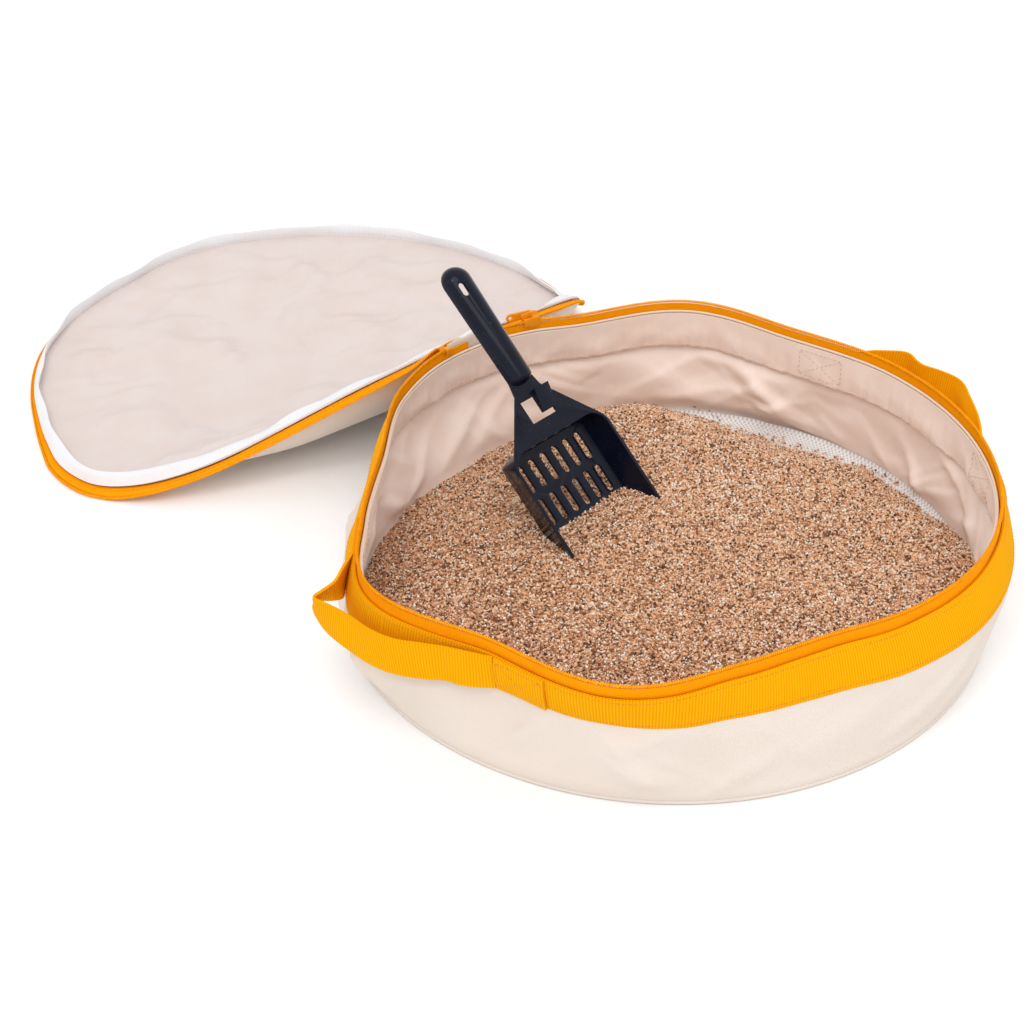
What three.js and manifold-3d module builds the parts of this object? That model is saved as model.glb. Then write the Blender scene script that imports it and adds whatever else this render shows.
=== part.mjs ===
// Portable litter box: a round canvas tub with a zip-on lid, two webbing handles, litter and a scoop.
// Lengths are in millimetres, angles in degrees, and +Z is up.
// The origin is the middle of the tub's base on the ground, with the lid's hinge toward +Y.
import * as THREE from "three";
import { mergeVertices } from "three/addons/utils/BufferGeometryUtils.js";
import Module from "manifold-3d";

const wasm = await Module();
wasm.setup();

// Cloth and seams
const canvasThickness = 1.2;
const liningThickness = 0.8;
const seamGap = 0.3;
const ringSides = 64;
const cordSides = 6;
const rightAngle = 90;

// Tub
const rimRadius = 200;
const wallTop = 83;
const baseSpread = 2.5;
const wallBulge = 2;
const wallLevels = 5;
const cornerRise = 5;
const weltRadius = 1.6;
const seamTapeWidth = 11;
const seamTapeThickness = 0.6;
const facingDepth = 27;
const pipingRadius = 0.9;

// Zip
const tapeThickness = 0.8;
const tapeTuck = 6;
const tapeStand = 6.6;
const coilWidth = 2.8;
const coilThickness = 2.3;
const closedCoilGap = 2.2;
const topStopLength = 3.5;
const bottomStopLength = 6;
const stopWall = 0.9;
const stopGrip = 2;

// Webbing and handles
const webbingWidth = 25;
const webbingThickness = 1.6;
const webbingDrop = 0.5;
const handleAngles = { left: 181.5, right: -7.5 };
const handleHalfAngle = 18.5;
const handleBoxLength = 36;
const handleReach = 40;
const handleDroop = 14;

// Hinge and lid
const hingeHalfWidth = 19;
const hingeReach = 4;
const hingeRollRadius = 1.5;
const hingeRollDrop = 2.25;
const flapInset = 2.35;
const lidSeamInset = 9.5;
const lidTapeTuck = 4.5;
const lidGroundGap = 0.5;
const bindingHeight = 9;
const bindingThickness = 2;
const foldReach = 130;
const hingeSkew = 2.8;
const foldBevel = 22;
const foldCutDepth = 16;

// Slider and pull
const sliderParkAngle = 76.4;
const sliderLength = 12;
const sliderFrontWidth = 9.2;
const sliderRearWidth = 7.2;
const sliderPlate = 1.1;
const sliderClearance = 0.6;
const sliderTopClearance = 0.35;
const sliderOuterRise = 0.6;
const wedgeLength = 4;
const flangeHeight = 1.4;
const crownLength = 8.4;
const crownWidth = 2.4;
const crownBar = 1.2;
const crownRoom = 2.1;
const crownRise = 3.1;
const pullThickness = 1.4;
const pullWidth = 6;
const pullLength = 17;
const pullWindow = 5.2;
const pullWindowWidth = 3.2;
const pullHole = 2.6;

// Litter
const litterDepth = 35;
const litterEdgeFall = 5;
const litterWallGap = 1.5;
const litterBankSlope = 28;
const litterBanks = [
  { angle: 22, toe: 186 },
  { angle: -3, toe: 195 },
];

// Scoop, measured from the end of the handle to the mouth, with the deck's top face as its level
const scoopMouthX = -11.5;
const scoopMouthY = 24.4;
const scoopMouthZ = 31.4;
const scoopAzimuth = 278.9;
const scoopPitch = 41.7;
const scoopWall = 2;
const scoopLength = 206;
const scoopHalfWidth = 43.5;
const scoopFloorHalfWidth = 38;
const scoopDepth = 19;
const panLength = 82;
const panRound = 4;
const panSlopeLength = 31;
const handleHalfWidth = 11;
const neckHalfWidth = 9.4;
const handleCrown = 8;
const neckToPan = 40;
const deckTuck = 14;
const shoulderRound = 14;
const shoulderSteps = 6;
const slotRows = 2;
const slotColumns = 6;
const slotInset = 7;
const slotLength = 19.7;
const slotRowGap = 5;
const slotPitch = 10.9;
const slotWidth = 5.5;
const windowToPan = 25.6;
const windowLength = 15.6;
const windowHalfWidth = 11;
const hookStart = 1.3;
const hookLength = 11.8;
const hookRise = 3.8;
const hookBack = 3.5;
const hookSide = 3;
const bossRadius = 2.2;
const bossRise = 0.6;
const bossInset = 6;
const hangSlotAt = 13;
const hangSlotLength = 9.5;
const hangSlotWidth = 4;
const hangSlotOffset = 4;
const cutOverrun = 1;
const roundSides = 12;

// Derived places
const tapeInner = rimRadius - tapeThickness / 2;
const tapeOuter = rimRadius + tapeThickness / 2;
const tapeBottom = wallTop - tapeTuck;
const coilBottom = wallTop + tapeStand;
const coilTop = coilBottom + coilWidth;
const canvasInner = tapeOuter + seamGap;
const canvasOuter = canvasInner + canvasThickness;
const liningOuter = tapeInner - seamGap;
const liningInner = liningOuter - liningThickness;
const webbingInner = canvasOuter + seamGap;
const webbingOuter = webbingInner + webbingThickness;
const webbingTop = wallTop - webbingDrop;
const webbingBottom = webbingTop - webbingWidth;
const patchInner = webbingOuter + seamGap;
const patchOuter = patchInner + webbingThickness;
const floorTop = canvasThickness + seamGap + liningThickness;
const upperCoilBottom = coilTop + closedCoilGap;
const upperCoilTop = upperCoilBottom + coilThickness;
const lidTapeBottom = upperCoilBottom + (coilThickness - tapeThickness) / 2;
const lidTapeTop = lidTapeBottom + tapeThickness;
const lidPanelBottom = lidTapeTop + seamGap;
const lidPanelTop = lidPanelBottom + canvasThickness;
const lidLiningTop = lidTapeBottom - seamGap;
const lidSeamRadius = rimRadius - lidSeamInset;
const hingeY = rimRadius + hingeReach;
const hingeZ = (lidTapeBottom + lidTapeTop) / 2 - hingeRollDrop;
const foldX = foldReach * Math.sin(THREE.MathUtils.degToRad(hingeSkew));
const foldY = hingeY - foldReach * Math.cos(THREE.MathUtils.degToRad(hingeSkew));
const panStart = scoopLength - panLength;
const panSlopeAt = scoopLength - panSlopeLength;
const neckAt = panStart - neckToPan;
const deckStart = neckAt - deckTuck;
const slotStart = panStart + slotInset;
const windowAt = panStart - windowToPan;

const radians = THREE.MathUtils.degToRad;
const degreesOfArc = (length, radius) => THREE.MathUtils.radToDeg(length / radius);
const at = (x, y) => new THREE.Vector2(x, y);

// Turns a closed geometry into a solid that can be joined and cut.
function solidOf(geometry) {
  const bare = geometry.clone();
  bare.deleteAttribute("normal");
  bare.deleteAttribute("uv");
  const merged = mergeVertices(bare);
  return new wasm.Manifold(new wasm.Mesh({
    numProp: 3,
    vertProperties: new Float32Array(merged.attributes.position.array),
    triVerts: new Uint32Array(merged.index.array),
  }));
}

// Turns a solid back into a geometry.
function geometryOf(solid) {
  const mesh = solid.getMesh();
  const geometry = new THREE.BufferGeometry();
  geometry.setAttribute("position", new THREE.BufferAttribute(mesh.vertProperties, 3));
  geometry.setIndex(new THREE.BufferAttribute(mesh.triVerts, 1));
  geometry.computeVertexNormals();
  return geometry;
}

// Joins several geometries into one solid.
function joined(...geometries) {
  return geometries.map(solidOf).reduce((whole, piece) => whole.add(piece));
}

// Turns a profile of (radius, height) points about the Z axis. The points run counterclockwise.
function turned(profile) {
  const geometry = new THREE.LatheGeometry(profile, ringSides);
  geometry.rotateX(Math.PI / 2);
  return geometry;
}

// A closed rectangular profile between two radii and two heights.
function bandProfile(inner, outer, bottom, top) {
  return [at(inner, bottom), at(outer, bottom), at(outer, top), at(inner, top), at(inner, bottom)];
}

// A disc profile that starts and ends on the axis.
function discProfile(radius, bottom, top) {
  return [at(0, bottom), at(radius, bottom), at(radius, top), at(0, top)];
}

// A closed round profile about a centre.
function roundProfile(radius, height, size, sides) {
  const points = [];
  for (let i = 0; i <= sides; i += 1) {
    const turn = (2 * Math.PI * (i % sides)) / sides;
    points.push(at(radius + size * Math.cos(turn), height + size * Math.sin(turn)));
  }
  return points;
}

// Extrudes an outline along its own Z axis, centred on it.
function extruded(points, depth) {
  const geometry = new THREE.ExtrudeGeometry(new THREE.Shape(points), { depth, bevelEnabled: false });
  geometry.translate(0, 0, -depth / 2);
  return geometry;
}

// A wedge from the axis that covers the angles from start to end.
function wedge(start, end) {
  const reach = 2 * rimRadius;
  const corners = [
    at(0, 0),
    at(reach * Math.cos(radians(start)), reach * Math.sin(radians(start))),
    at(reach * Math.cos(radians(end)), reach * Math.sin(radians(end))),
  ];
  return solidOf(extruded(corners, 2 * rimRadius));
}

// The stretch of a turned profile between two angles.
function arcPiece(profile, start, end) {
  return solidOf(turned(profile)).intersect(wedge(start, end));
}

// Lays a geometry's own X, Y and Z axes along three directions from an origin.
function laid(geometry, xAxis, yAxis, zAxis, origin = new THREE.Vector3()) {
  const matrix = new THREE.Matrix4().makeBasis(xAxis, yAxis, zAxis).setPosition(origin);
  return geometry.clone().applyMatrix4(matrix);
}

const unitX = new THREE.Vector3(1, 0, 0);
const unitY = new THREE.Vector3(0, 1, 0);
const unitZ = new THREE.Vector3(0, 0, 1);

// An outline drawn in (Y, Z) and extruded along X about the middle.
const alongX = (points, depth) => laid(extruded(points, depth), unitY, unitZ, unitX);

// An outline drawn in (Z, X) and extruded along Y about the middle.
const alongY = (points, depth) => laid(extruded(points, depth), unitZ, unitX, unitY);

function rectangle(left, right, bottom, top) {
  return [at(left, bottom), at(right, bottom), at(right, top), at(left, top)];
}

// A box between two corners.
function block(x0, x1, y0, y1, z0, z1) {
  const geometry = new THREE.BoxGeometry(x1 - x0, y1 - y0, z1 - z0);
  geometry.translate((x0 + x1) / 2, (y0 + y1) / 2, (z0 + z1) / 2);
  return geometry;
}

// A rounded slot outline between two places along X, centred on a Y place.
function slotOutline(start, end, middle, width) {
  const half = width / 2;
  const shape = new THREE.Shape();
  shape.absarc(end - half, middle, half, -Math.PI / 2, Math.PI / 2, false);
  shape.absarc(start + half, middle, half, Math.PI / 2, 1.5 * Math.PI, false);
  return shape.getPoints(roundSides / 2);
}

const cloth = (color) => new THREE.MeshStandardMaterial({ color, roughness: 0.9, metalness: 0 });
const plastic = (color) => new THREE.MeshStandardMaterial({ color, roughness: 0.35, metalness: 0 });
const canvasCream = cloth("#eadfd0");
const liningPeach = cloth("#e6cfc0");
const seamWhite = cloth("#efeeee");
const webbingOrange = cloth("#f9a602");
const zipOrange = plastic("#f59700");
const litterBrown = cloth("#b48a6a");
const scoopNavy = plastic("#141f35");

const box = new THREE.Group();
const lidTurner = new THREE.Group();
const lid = new THREE.Group();
const foldTurner = new THREE.Group();
const lidFront = new THREE.Group();
box.add(lidTurner);
lidTurner.add(lid);
lid.add(foldTurner);
foldTurner.add(lidFront);

function addPart(parent, name, geometry, material) {
  const mesh = new THREE.Mesh(geometry, material.clone());
  mesh.name = name;
  parent.add(mesh);
  return mesh;
}

// How far the wall stands out from its line at the rim, at a height.
function wallSpread(height) {
  const rise = Math.min(height / tapeBottom, 1);
  return baseSpread * (1 - rise) + wallBulge * Math.sin(Math.PI * rise);
}

// A wall profile between two offsets from the rim's line, following the wall's spread.
function wallProfile(inner, outer, bottom, corner, top) {
  const heights = [];
  for (let i = 0; i <= wallLevels; i += 1) {
    heights.push(corner + ((tapeBottom - corner) * i) / wallLevels);
  }
  heights.push(top);
  const thickness = outer - inner;
  const lowInner = inner + wallSpread(corner) - (corner - bottom) / 2;
  const outside = heights.map((height) => at(outer + wallSpread(height), height));
  const inside = heights.map((height) => at(inner + wallSpread(height), height)).reverse();
  const low = [at(lowInner, bottom), at(lowInner + thickness, bottom)];
  return [...low, ...outside, ...inside, at(lowInner, bottom)];
}

function addTub() {
  const wallBottom = 2 * weltRadius + 2 * seamGap;
  const baseRadius = canvasInner + wallSpread(0) - weltRadius;
  const gapHalfAngle = degreesOfArc(hingeHalfWidth, rimRadius);
  const gap = wedge(rightAngle - gapHalfAngle, rightAngle + gapHalfAngle);

  addPart(box, "base_panel", turned(discProfile(baseRadius, 0, canvasThickness)), canvasCream);
  const weltHeight = weltRadius + seamGap;
  const weltPlace = baseRadius + seamGap + weltRadius;
  addPart(box, "base_welt",
    turned(roundProfile(weltPlace, weltHeight, weltRadius, cordSides)), canvasCream);
  addPart(box, "side_wall",
    turned(wallProfile(canvasInner, canvasOuter, wallBottom, wallBottom + cornerRise, wallTop)), canvasCream);

  const liningBottom = floorTop + seamGap;
  const floorRadius = liningInner + wallSpread(0) - cornerRise;
  addPart(box, "lining_floor",
    turned(discProfile(floorRadius, canvasThickness + seamGap, floorTop)), liningPeach);
  addPart(box, "lining_wall",
    turned(wallProfile(liningInner, liningOuter, liningBottom, liningBottom + cornerRise, wallTop)),
    liningPeach);
  const seamTapeOuter = liningInner + wallSpread(0) - cornerRise;
  addPart(box, "floor_seam_tape", turned(bandProfile(seamTapeOuter - seamTapeWidth,
    seamTapeOuter, floorTop + seamGap, floorTop + seamGap + seamTapeThickness)), seamWhite);

  const facingOuter = liningInner - seamGap;
  const facingInner = facingOuter - liningThickness;
  addPart(box, "rim_facing", turned(bandProfile(facingInner + wallSpread(tapeBottom),
    facingOuter, wallTop - facingDepth, wallTop)), liningPeach);
  addPart(box, "rim_piping", turned(roundProfile(facingInner + pipingRadius,
    wallTop + seamGap + pipingRadius, pipingRadius, cordSides)), seamWhite);
  addPart(box, "rim_webbing",
    turned(bandProfile(webbingInner + wallSpread(webbingBottom), webbingOuter + wallSpread(webbingBottom),
      webbingBottom, webbingTop)), webbingOrange);

  const tape = turned(bandProfile(tapeInner, tapeOuter, tapeBottom, coilBottom - seamGap));
  addPart(box, "lower_zip_tape", geometryOf(solidOf(tape).subtract(gap)), webbingOrange);
  const coil = zipCoil(at(rimRadius, (coilBottom + coilTop) / 2),
    at(coilThickness / 2, coilWidth / 2), gapHalfAngle);
  addPart(box, "lower_zip_coil", geometryOf(coil), zipOrange);

  const stopProfile = gripProfile(coilThickness + 2 * stopWall, coilWidth, tapeThickness + 2 * seamGap)
    .map((point) => at(rimRadius + point.x, coilBottom + point.y));
  addStops(box, "lower", stopProfile, gapHalfAngle);
  addHingeGusset(gapHalfAngle);
}

// A ring of coil with its ends inside the stops, from a centre and its half sizes.
function zipCoil(centre, half, gapHalfAngle) {
  const profile = roundProfile(0, 0, 1, cordSides).map((point) => at(centre.x + half.x * point.x,
    centre.y + half.y * point.y));
  const leftEnd = rightAngle + gapHalfAngle + degreesOfArc(topStopLength + seamGap, rimRadius);
  const rightEnd = rightAngle - gapHalfAngle - degreesOfArc(bottomStopLength + seamGap, rimRadius);
  return solidOf(turned(profile)).subtract(wedge(rightEnd, leftEnd));
}

// The section of a stop that straddles the edge of a tape, drawn with the tape below it.
function gripProfile(width, height, slot) {
  return [
    at(-width / 2, -stopGrip), at(-slot / 2, -stopGrip), at(-slot / 2, 0), at(slot / 2, 0),
    at(slot / 2, -stopGrip), at(width / 2, -stopGrip), at(width / 2, height), at(-width / 2, height),
    at(-width / 2, -stopGrip),
  ];
}

function addStops(parent, side, profile, gapHalfAngle) {
  const left = rightAngle + gapHalfAngle;
  const right = rightAngle - gapHalfAngle;
  const top = arcPiece(profile, left, left + degreesOfArc(topStopLength, rimRadius));
  addPart(parent, `${side}_top_stop`, geometryOf(top), zipOrange);
  const bottom = arcPiece(profile, right - degreesOfArc(bottomStopLength, rimRadius), right);
  addPart(parent, `${side}_bottom_stop`, geometryOf(bottom), zipOrange);
}

// The canvas strip between the ends of the zip, with the roll that the lid's flap turns on.
function addHingeGusset(gapHalfAngle) {
  const sideGap = degreesOfArc(seamGap, rimRadius);
  const strip = arcPiece(bandProfile(tapeInner, tapeOuter, tapeBottom, coilBottom),
    rightAngle - gapHalfAngle + sideGap, rightAngle + gapHalfAngle - sideGap);
  const width = 2 * tapeInner * Math.sin(radians(gapHalfAngle - sideGap));
  const chord = tapeInner * Math.cos(radians(gapHalfAngle));
  const lean = alongX([
    at(chord, coilBottom - canvasThickness), at(tapeOuter, coilBottom - canvasThickness),
    at(hingeY, hingeZ - hingeRollRadius / 2), at(hingeY, hingeZ + hingeRollRadius / 2), at(chord, coilBottom),
  ], width);
  const roll = new THREE.CylinderGeometry(hingeRollRadius, hingeRollRadius, width, roundSides);
  roll.rotateZ(Math.PI / 2);
  roll.translate(0, hingeY, hingeZ);
  const gusset = strip.add(solidOf(lean)).add(solidOf(roll));
  addPart(box, "hinge_gusset", geometryOf(gusset), canvasCream);
}

// A groove across the lid at its fold, which closes as the front half turns up from the rear half.
function foldGroove() {
  const half = seamGap / 2;
  const spread = half + foldCutDepth * Math.tan(radians(foldBevel));
  const groove = alongX([
    at(-half, lidPanelTop + cutOverrun), at(-half, lidPanelTop),
    at(-spread, lidPanelTop - foldCutDepth), at(spread, lidPanelTop - foldCutDepth),
    at(half, lidPanelTop), at(half, lidPanelTop + cutOverrun),
  ], 3 * rimRadius);
  groove.rotateZ(radians(hingeSkew));
  groove.translate(foldX, foldY, 0);
  return solidOf(groove);
}

// Parts a piece of the closed lid at the fold. What lies past it turns with the front half.
function addLidPieces(name, solid, material) {
  for (const piece of solid.subtract(foldGroove()).decompose()) {
    const { min, max } = piece.boundingBox();
    const aside = (min[0] + max[0]) / 2 - foldX;
    const ahead = (min[1] + max[1]) / 2 - foldY;
    const isFront = ahead * Math.cos(radians(hingeSkew)) < aside * Math.sin(radians(hingeSkew));
    const isWhole = min[0] < 0 && max[0] > 0;
    const sidePlace = max[0] < 0 ? "left" : "right";
    const place = isWhole ? "rear" : sidePlace;
    const ending = isFront ? "front" : place;
    addPart(isFront ? lidFront : lid, `${name}_${ending}`, geometryOf(piece), material);
  }
}

// The near half of the lid hangs from the hinge to the ground, and the front half lies on the ground.
function openLid() {
  const fall = hingeZ - lidGroundGap;
  const below = lidPanelTop - hingeZ;
  const tilt = Math.asin(fall / Math.hypot(foldReach, below)) - Math.atan2(below, foldReach);
  const skew = radians(hingeSkew);
  lidTurner.position.set(0, hingeY, hingeZ);
  lidTurner.rotation.set(-(Math.PI + tilt), 0, skew, "ZYX");
  lid.position.set(0, -hingeY, -hingeZ).applyAxisAngle(unitZ, -skew);
  lid.rotation.z = -skew;
  foldTurner.position.set(foldX, foldY, lidPanelTop);
  foldTurner.rotation.set(tilt, 0, skew, "ZYX");
  lidFront.position.set(-foldX, -foldY, -lidPanelTop).applyAxisAngle(unitZ, -skew);
  lidFront.rotation.z = -skew;
}

// The lid is built closed on the tub, then opened.
function addLid() {
  const gapHalfAngle = degreesOfArc(hingeHalfWidth, rimRadius);
  const gap = wedge(rightAngle - gapHalfAngle, rightAngle + gapHalfAngle);
  const tapeEdge = rimRadius - coilWidth / 2 - seamGap;
  const liningRadius = lidSeamRadius - seamGap;

  addLidPieces("lid_panel", solidOf(turned(discProfile(lidSeamRadius, lidPanelBottom, lidPanelTop))),
    canvasCream);
  addLidPieces("lid_lining",
    solidOf(turned(discProfile(liningRadius, lidLiningTop - liningThickness, lidLiningTop))), liningPeach);
  addLidPieces("lid_binding", solidOf(turned(bandProfile(lidSeamRadius, lidSeamRadius + bindingThickness,
    lidLiningTop - bindingHeight, lidLiningTop))), seamWhite);
  const tape = turned(bandProfile(lidSeamRadius - lidTapeTuck, tapeEdge, lidTapeBottom, lidTapeTop));
  addLidPieces("upper_zip_tape", solidOf(tape).subtract(gap), webbingOrange);
  addLidPieces("upper_zip_coil", zipCoil(at(rimRadius, (upperCoilBottom + upperCoilTop) / 2),
    at(coilWidth / 2, coilThickness / 2), gapHalfAngle), zipOrange);

  const level = (lidTapeBottom + lidTapeTop) / 2;
  const stopProfile = gripProfile(coilThickness + 2 * stopWall, coilWidth, tapeThickness + 2 * seamGap)
    .map((point) => at(tapeEdge + seamGap + point.y, level - point.x));
  addStops(lid, "upper", stopProfile, gapHalfAngle);

  const flapWidth = 2 * (lidSeamRadius - lidTapeTuck)
    * Math.sin(radians(gapHalfAngle - degreesOfArc(seamGap, rimRadius)));
  const flap = alongX(rectangle(lidSeamRadius - lidTapeTuck, hingeY - flapInset, lidTapeBottom, lidTapeTop),
    flapWidth);
  addPart(lid, "lid_hinge_flap", flap, canvasCream);
  openLid();
}

// A plate of the slider, drawn from its sides up to a top, with the front corners cut and the rear narrowed.
function sliderPlateAt(low, top, offset) {
  const half = sliderLength / 2;
  const taper = (sliderFrontWidth - sliderRearWidth) / 2;
  const plate = alongY([
    at(low, half - 2 * taper), at(low + taper, half - taper / 2), at(low + 2 * taper, half),
    at(top - 2 * taper, half), at(top - taper, half - taper / 2), at(top, half - 2 * taper),
    at(top - taper, -half), at(low + taper, -half),
  ], sliderPlate);
  plate.translate(0, offset, 0);
  return plate;
}

// The post between the plates that parts the two coils.
function sliderPost(channel) {
  const tip = sliderLength / 2 - (sliderFrontWidth - sliderRearWidth) / 2;
  const low = coilWidth / 2 + sliderTopClearance;
  const high = coilWidth / 2 + closedCoilGap - sliderTopClearance;
  const middle = (low + high) / 2;
  const outline = [
    at(low, tip), at(middle, tip - wedgeLength), at(high, tip), at(middle, tip + sliderPlate / 2),
  ];
  return alongY(outline, 2 * channel + sliderPlate);
}

// The lip along the bottom of a plate that closes the channel below the tub's coil.
function sliderFlange(channel, side) {
  const taper = (sliderFrontWidth - sliderRearWidth) / 2;
  const lip = side * (tapeThickness / 2 + sliderClearance);
  const root = side * (channel + cutOverrun / 2);
  const top = -coilWidth / 2 - sliderClearance;
  return block(-sliderLength / 2 + taper, sliderLength / 2 - 2 * taper,
    Math.min(lip, root), Math.max(lip, root), top - flangeHeight, top);
}

// The arch on the slider's outer face that holds the pull.
function sliderCrown(face) {
  const half = crownLength / 2;
  const whole = block(-half, half, face - cutOverrun / 2, face + crownRoom + crownBar,
    crownRise - crownWidth / 2, crownRise + crownWidth / 2);
  const room = block(-half + crownBar, half - crownBar, face, face + crownRoom,
    crownRise - crownWidth, crownRise + crownWidth);
  return solidOf(whole).subtract(solidOf(room));
}

// The slider, drawn with X along the rim toward its narrow end, Y outward and the coil's middle at zero.
function addSlider() {
  const turner = new THREE.Group();
  turner.rotation.z = radians(sliderParkAngle - rightAngle);
  box.add(turner);
  const coilMiddle = (coilBottom + coilTop) / 2;
  const body = new THREE.Group();
  body.position.set(0, rimRadius, coilMiddle);
  turner.add(body);

  const channel = coilThickness / 2 + sliderClearance;
  const low = -coilWidth / 2 - sliderClearance - flangeHeight - sliderTopClearance;
  const innerTop = lidTapeBottom - coilMiddle - sliderTopClearance;
  const outerTop = low + sliderFrontWidth + sliderOuterRise;
  const place = channel + sliderPlate / 2;
  const slider = joined(sliderPlateAt(low, innerTop, -place), sliderPlateAt(low, outerTop, place),
    sliderPost(channel), sliderFlange(channel, -1), sliderFlange(channel, 1));
  const outerFace = channel + sliderPlate;
  addPart(body, "zip_slider", geometryOf(slider.add(sliderCrown(outerFace))), zipOrange);
  addPull(body, outerFace + crownRoom / 2);
}

// The pull tab, drawn from the bar in its eye that passes under the slider's crown.
function addPull(parent, reach) {
  const half = pullWidth / 2;
  const tab = new THREE.Shape();
  tab.moveTo(0, -half);
  tab.lineTo(0, half);
  tab.lineTo(-pullLength + half, half);
  tab.absarc(-pullLength + half, 0, half, Math.PI / 2, 1.5 * Math.PI, false);
  const eye = new THREE.Path();
  const eyeHalf = pullWindowWidth / 2;
  const eyeStart = -pullThickness / 2;
  eye.setFromPoints([at(eyeStart, -eyeHalf), at(eyeStart, eyeHalf),
    at(eyeStart - pullWindow, eyeHalf), at(eyeStart - pullWindow, -eyeHalf)]);
  const hole = new THREE.Path();
  hole.absarc(-pullLength + half, 0, pullHole / 2, 0, 2 * Math.PI, true);
  tab.holes.push(eye, hole);
  const flat = new THREE.ExtrudeGeometry(tab, {
    depth: pullThickness, bevelEnabled: false, curveSegments: roundSides / 2,
  });
  flat.translate(0, 0, -pullThickness / 2);
  const plate = laid(flat, unitX, unitZ.clone().negate(), unitY);
  const bar = new THREE.CylinderGeometry(pullThickness / 2, pullThickness / 2, pullWidth, roundSides);
  bar.rotateX(Math.PI / 2);
  const pull = addPart(parent, "zip_pull", geometryOf(joined(plate, bar)), zipOrange);
  pull.position.set(0, reach, crownRise);
}

// Each handle is one strap: two ends sewn flat on the rim's webbing and a loop that stands off the wall.
function addHandle(side) {
  const turner = new THREE.Group();
  turner.rotation.z = radians(handleAngles[side] - rightAngle);
  box.add(turner);
  const patchSpread = wallSpread(webbingBottom);
  const boxArc = degreesOfArc(handleBoxLength, rimRadius);
  const profile = bandProfile(patchInner + patchSpread, patchOuter + patchSpread, webbingBottom, webbingTop);
  const ends = {
    front: arcPiece(profile, rightAngle + handleHalfAngle, rightAngle + handleHalfAngle + boxArc),
    rear: arcPiece(profile, rightAngle - handleHalfAngle - boxArc, rightAngle - handleHalfAngle),
  };
  for (const [place, solid] of Object.entries(ends)) {
    addPart(turner, `handle_${side}_${place}_end`, geometryOf(solid), webbingOrange);
  }

  const strapRadius = (patchInner + patchOuter) / 2 + patchSpread;
  const startAngle = handleHalfAngle - degreesOfArc(seamGap, rimRadius);
  const endX = strapRadius * Math.sin(radians(startAngle));
  const endY = strapRadius * Math.cos(radians(startAngle));
  const peakY = rimRadius + handleReach;
  const lead = endX / 2;
  const path = new THREE.CurvePath();
  path.add(new THREE.CubicBezierCurve(at(-endX, endY),
    at(-endX + lead * Math.cos(radians(startAngle)), endY + lead * Math.sin(radians(startAngle))),
    at(-lead, peakY), at(0, peakY)));
  path.add(new THREE.CubicBezierCurve(at(0, peakY), at(lead, peakY),
    at(endX - lead * Math.cos(radians(startAngle)), endY + lead * Math.sin(radians(startAngle))),
    at(endX, endY)));
  const steps = ringSides / 4;
  const outer = [];
  const inner = [];
  for (let i = 0; i <= steps; i += 1) {
    const place = path.getPoint(i / steps);
    const heading = path.getTangent(i / steps);
    const sideways = at(-heading.y, heading.x).multiplyScalar(webbingThickness / 2);
    outer.push(place.clone().add(sideways));
    inner.unshift(place.clone().sub(sideways));
  }
  const strap = new THREE.ExtrudeGeometry(new THREE.Shape([...outer, ...inner].reverse()),
    { depth: webbingWidth, bevelEnabled: false });
  strap.translate(0, 0, webbingBottom);
  const places = strap.attributes.position;
  for (let i = 0; i < places.count; i += 1) {
    const share = Math.max(places.getY(i) - endY, 0) / (peakY - endY);
    places.setZ(i, places.getZ(i) - handleDroop * share * share);
  }
  addPart(turner, `handle_${side}_loop`, strap, webbingOrange);
}

function scoopGroup() {
  const group = new THREE.Group();
  group.rotation.set(0, radians(scoopPitch), radians(scoopAzimuth), "ZYX");
  const handle = unitX.clone().applyEuler(group.rotation).multiplyScalar(-scoopLength);
  group.position.set(scoopMouthX, scoopMouthY, scoopMouthZ).add(handle);
  return group;
}

// The half-round grip, hollow from below, with a rounded nose at each end.
function scoopGrip() {
  const shell = (inset) => {
    const halfWidth = handleHalfWidth - inset;
    const crown = handleCrown + scoopWall - inset;
    const arch = [];
    for (let i = 0; i <= roundSides; i += 1) {
      const turn = (Math.PI * i) / roundSides;
      arch.push(at(halfWidth * Math.cos(turn), crown * Math.sin(turn)));
    }
    const length = neckAt - handleHalfWidth;
    const body = laid(extruded(arch, length), unitY, unitZ, unitX);
    body.translate(handleHalfWidth + length / 2, 0, -scoopWall);
    const places = body.attributes.position;
    for (let i = 0; i < places.count; i += 1) {
      const share = (places.getX(i) - handleHalfWidth) / length;
      places.setY(i, places.getY(i) * (1 - (1 - neckHalfWidth / handleHalfWidth) * share));
    }
    const nose = (place, reach, width) => {
      const ball = new THREE.SphereGeometry(1, 2 * roundSides, roundSides);
      ball.rotateX(Math.PI / 2);
      ball.scale(reach, width, crown);
      ball.translate(place, 0, -scoopWall);
      return ball;
    };
    const neckWidth = neckHalfWidth - inset;
    return joined(body, nose(handleHalfWidth, halfWidth, halfWidth), nose(neckAt, neckWidth / 2, neckWidth));
  };
  const above = solidOf(block(-scoopLength, scoopLength, -scoopHalfWidth, scoopHalfWidth,
    -scoopWall, scoopLength));
  return shell(0).intersect(above).subtract(shell(scoopWall));
}

// The rounded corner of the pan's plan, from its back to its side.
function panCorner(inset) {
  const radius = shoulderRound - inset;
  const corner = [];
  for (let i = 0; i <= shoulderSteps; i += 1) {
    const turn = (Math.PI / 2) * (i / shoulderSteps);
    corner.push(at(panStart + inset + radius * (1 - Math.cos(turn)),
      scoopHalfWidth - inset - radius * (1 - Math.sin(turn))));
  }
  return corner;
}

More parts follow.
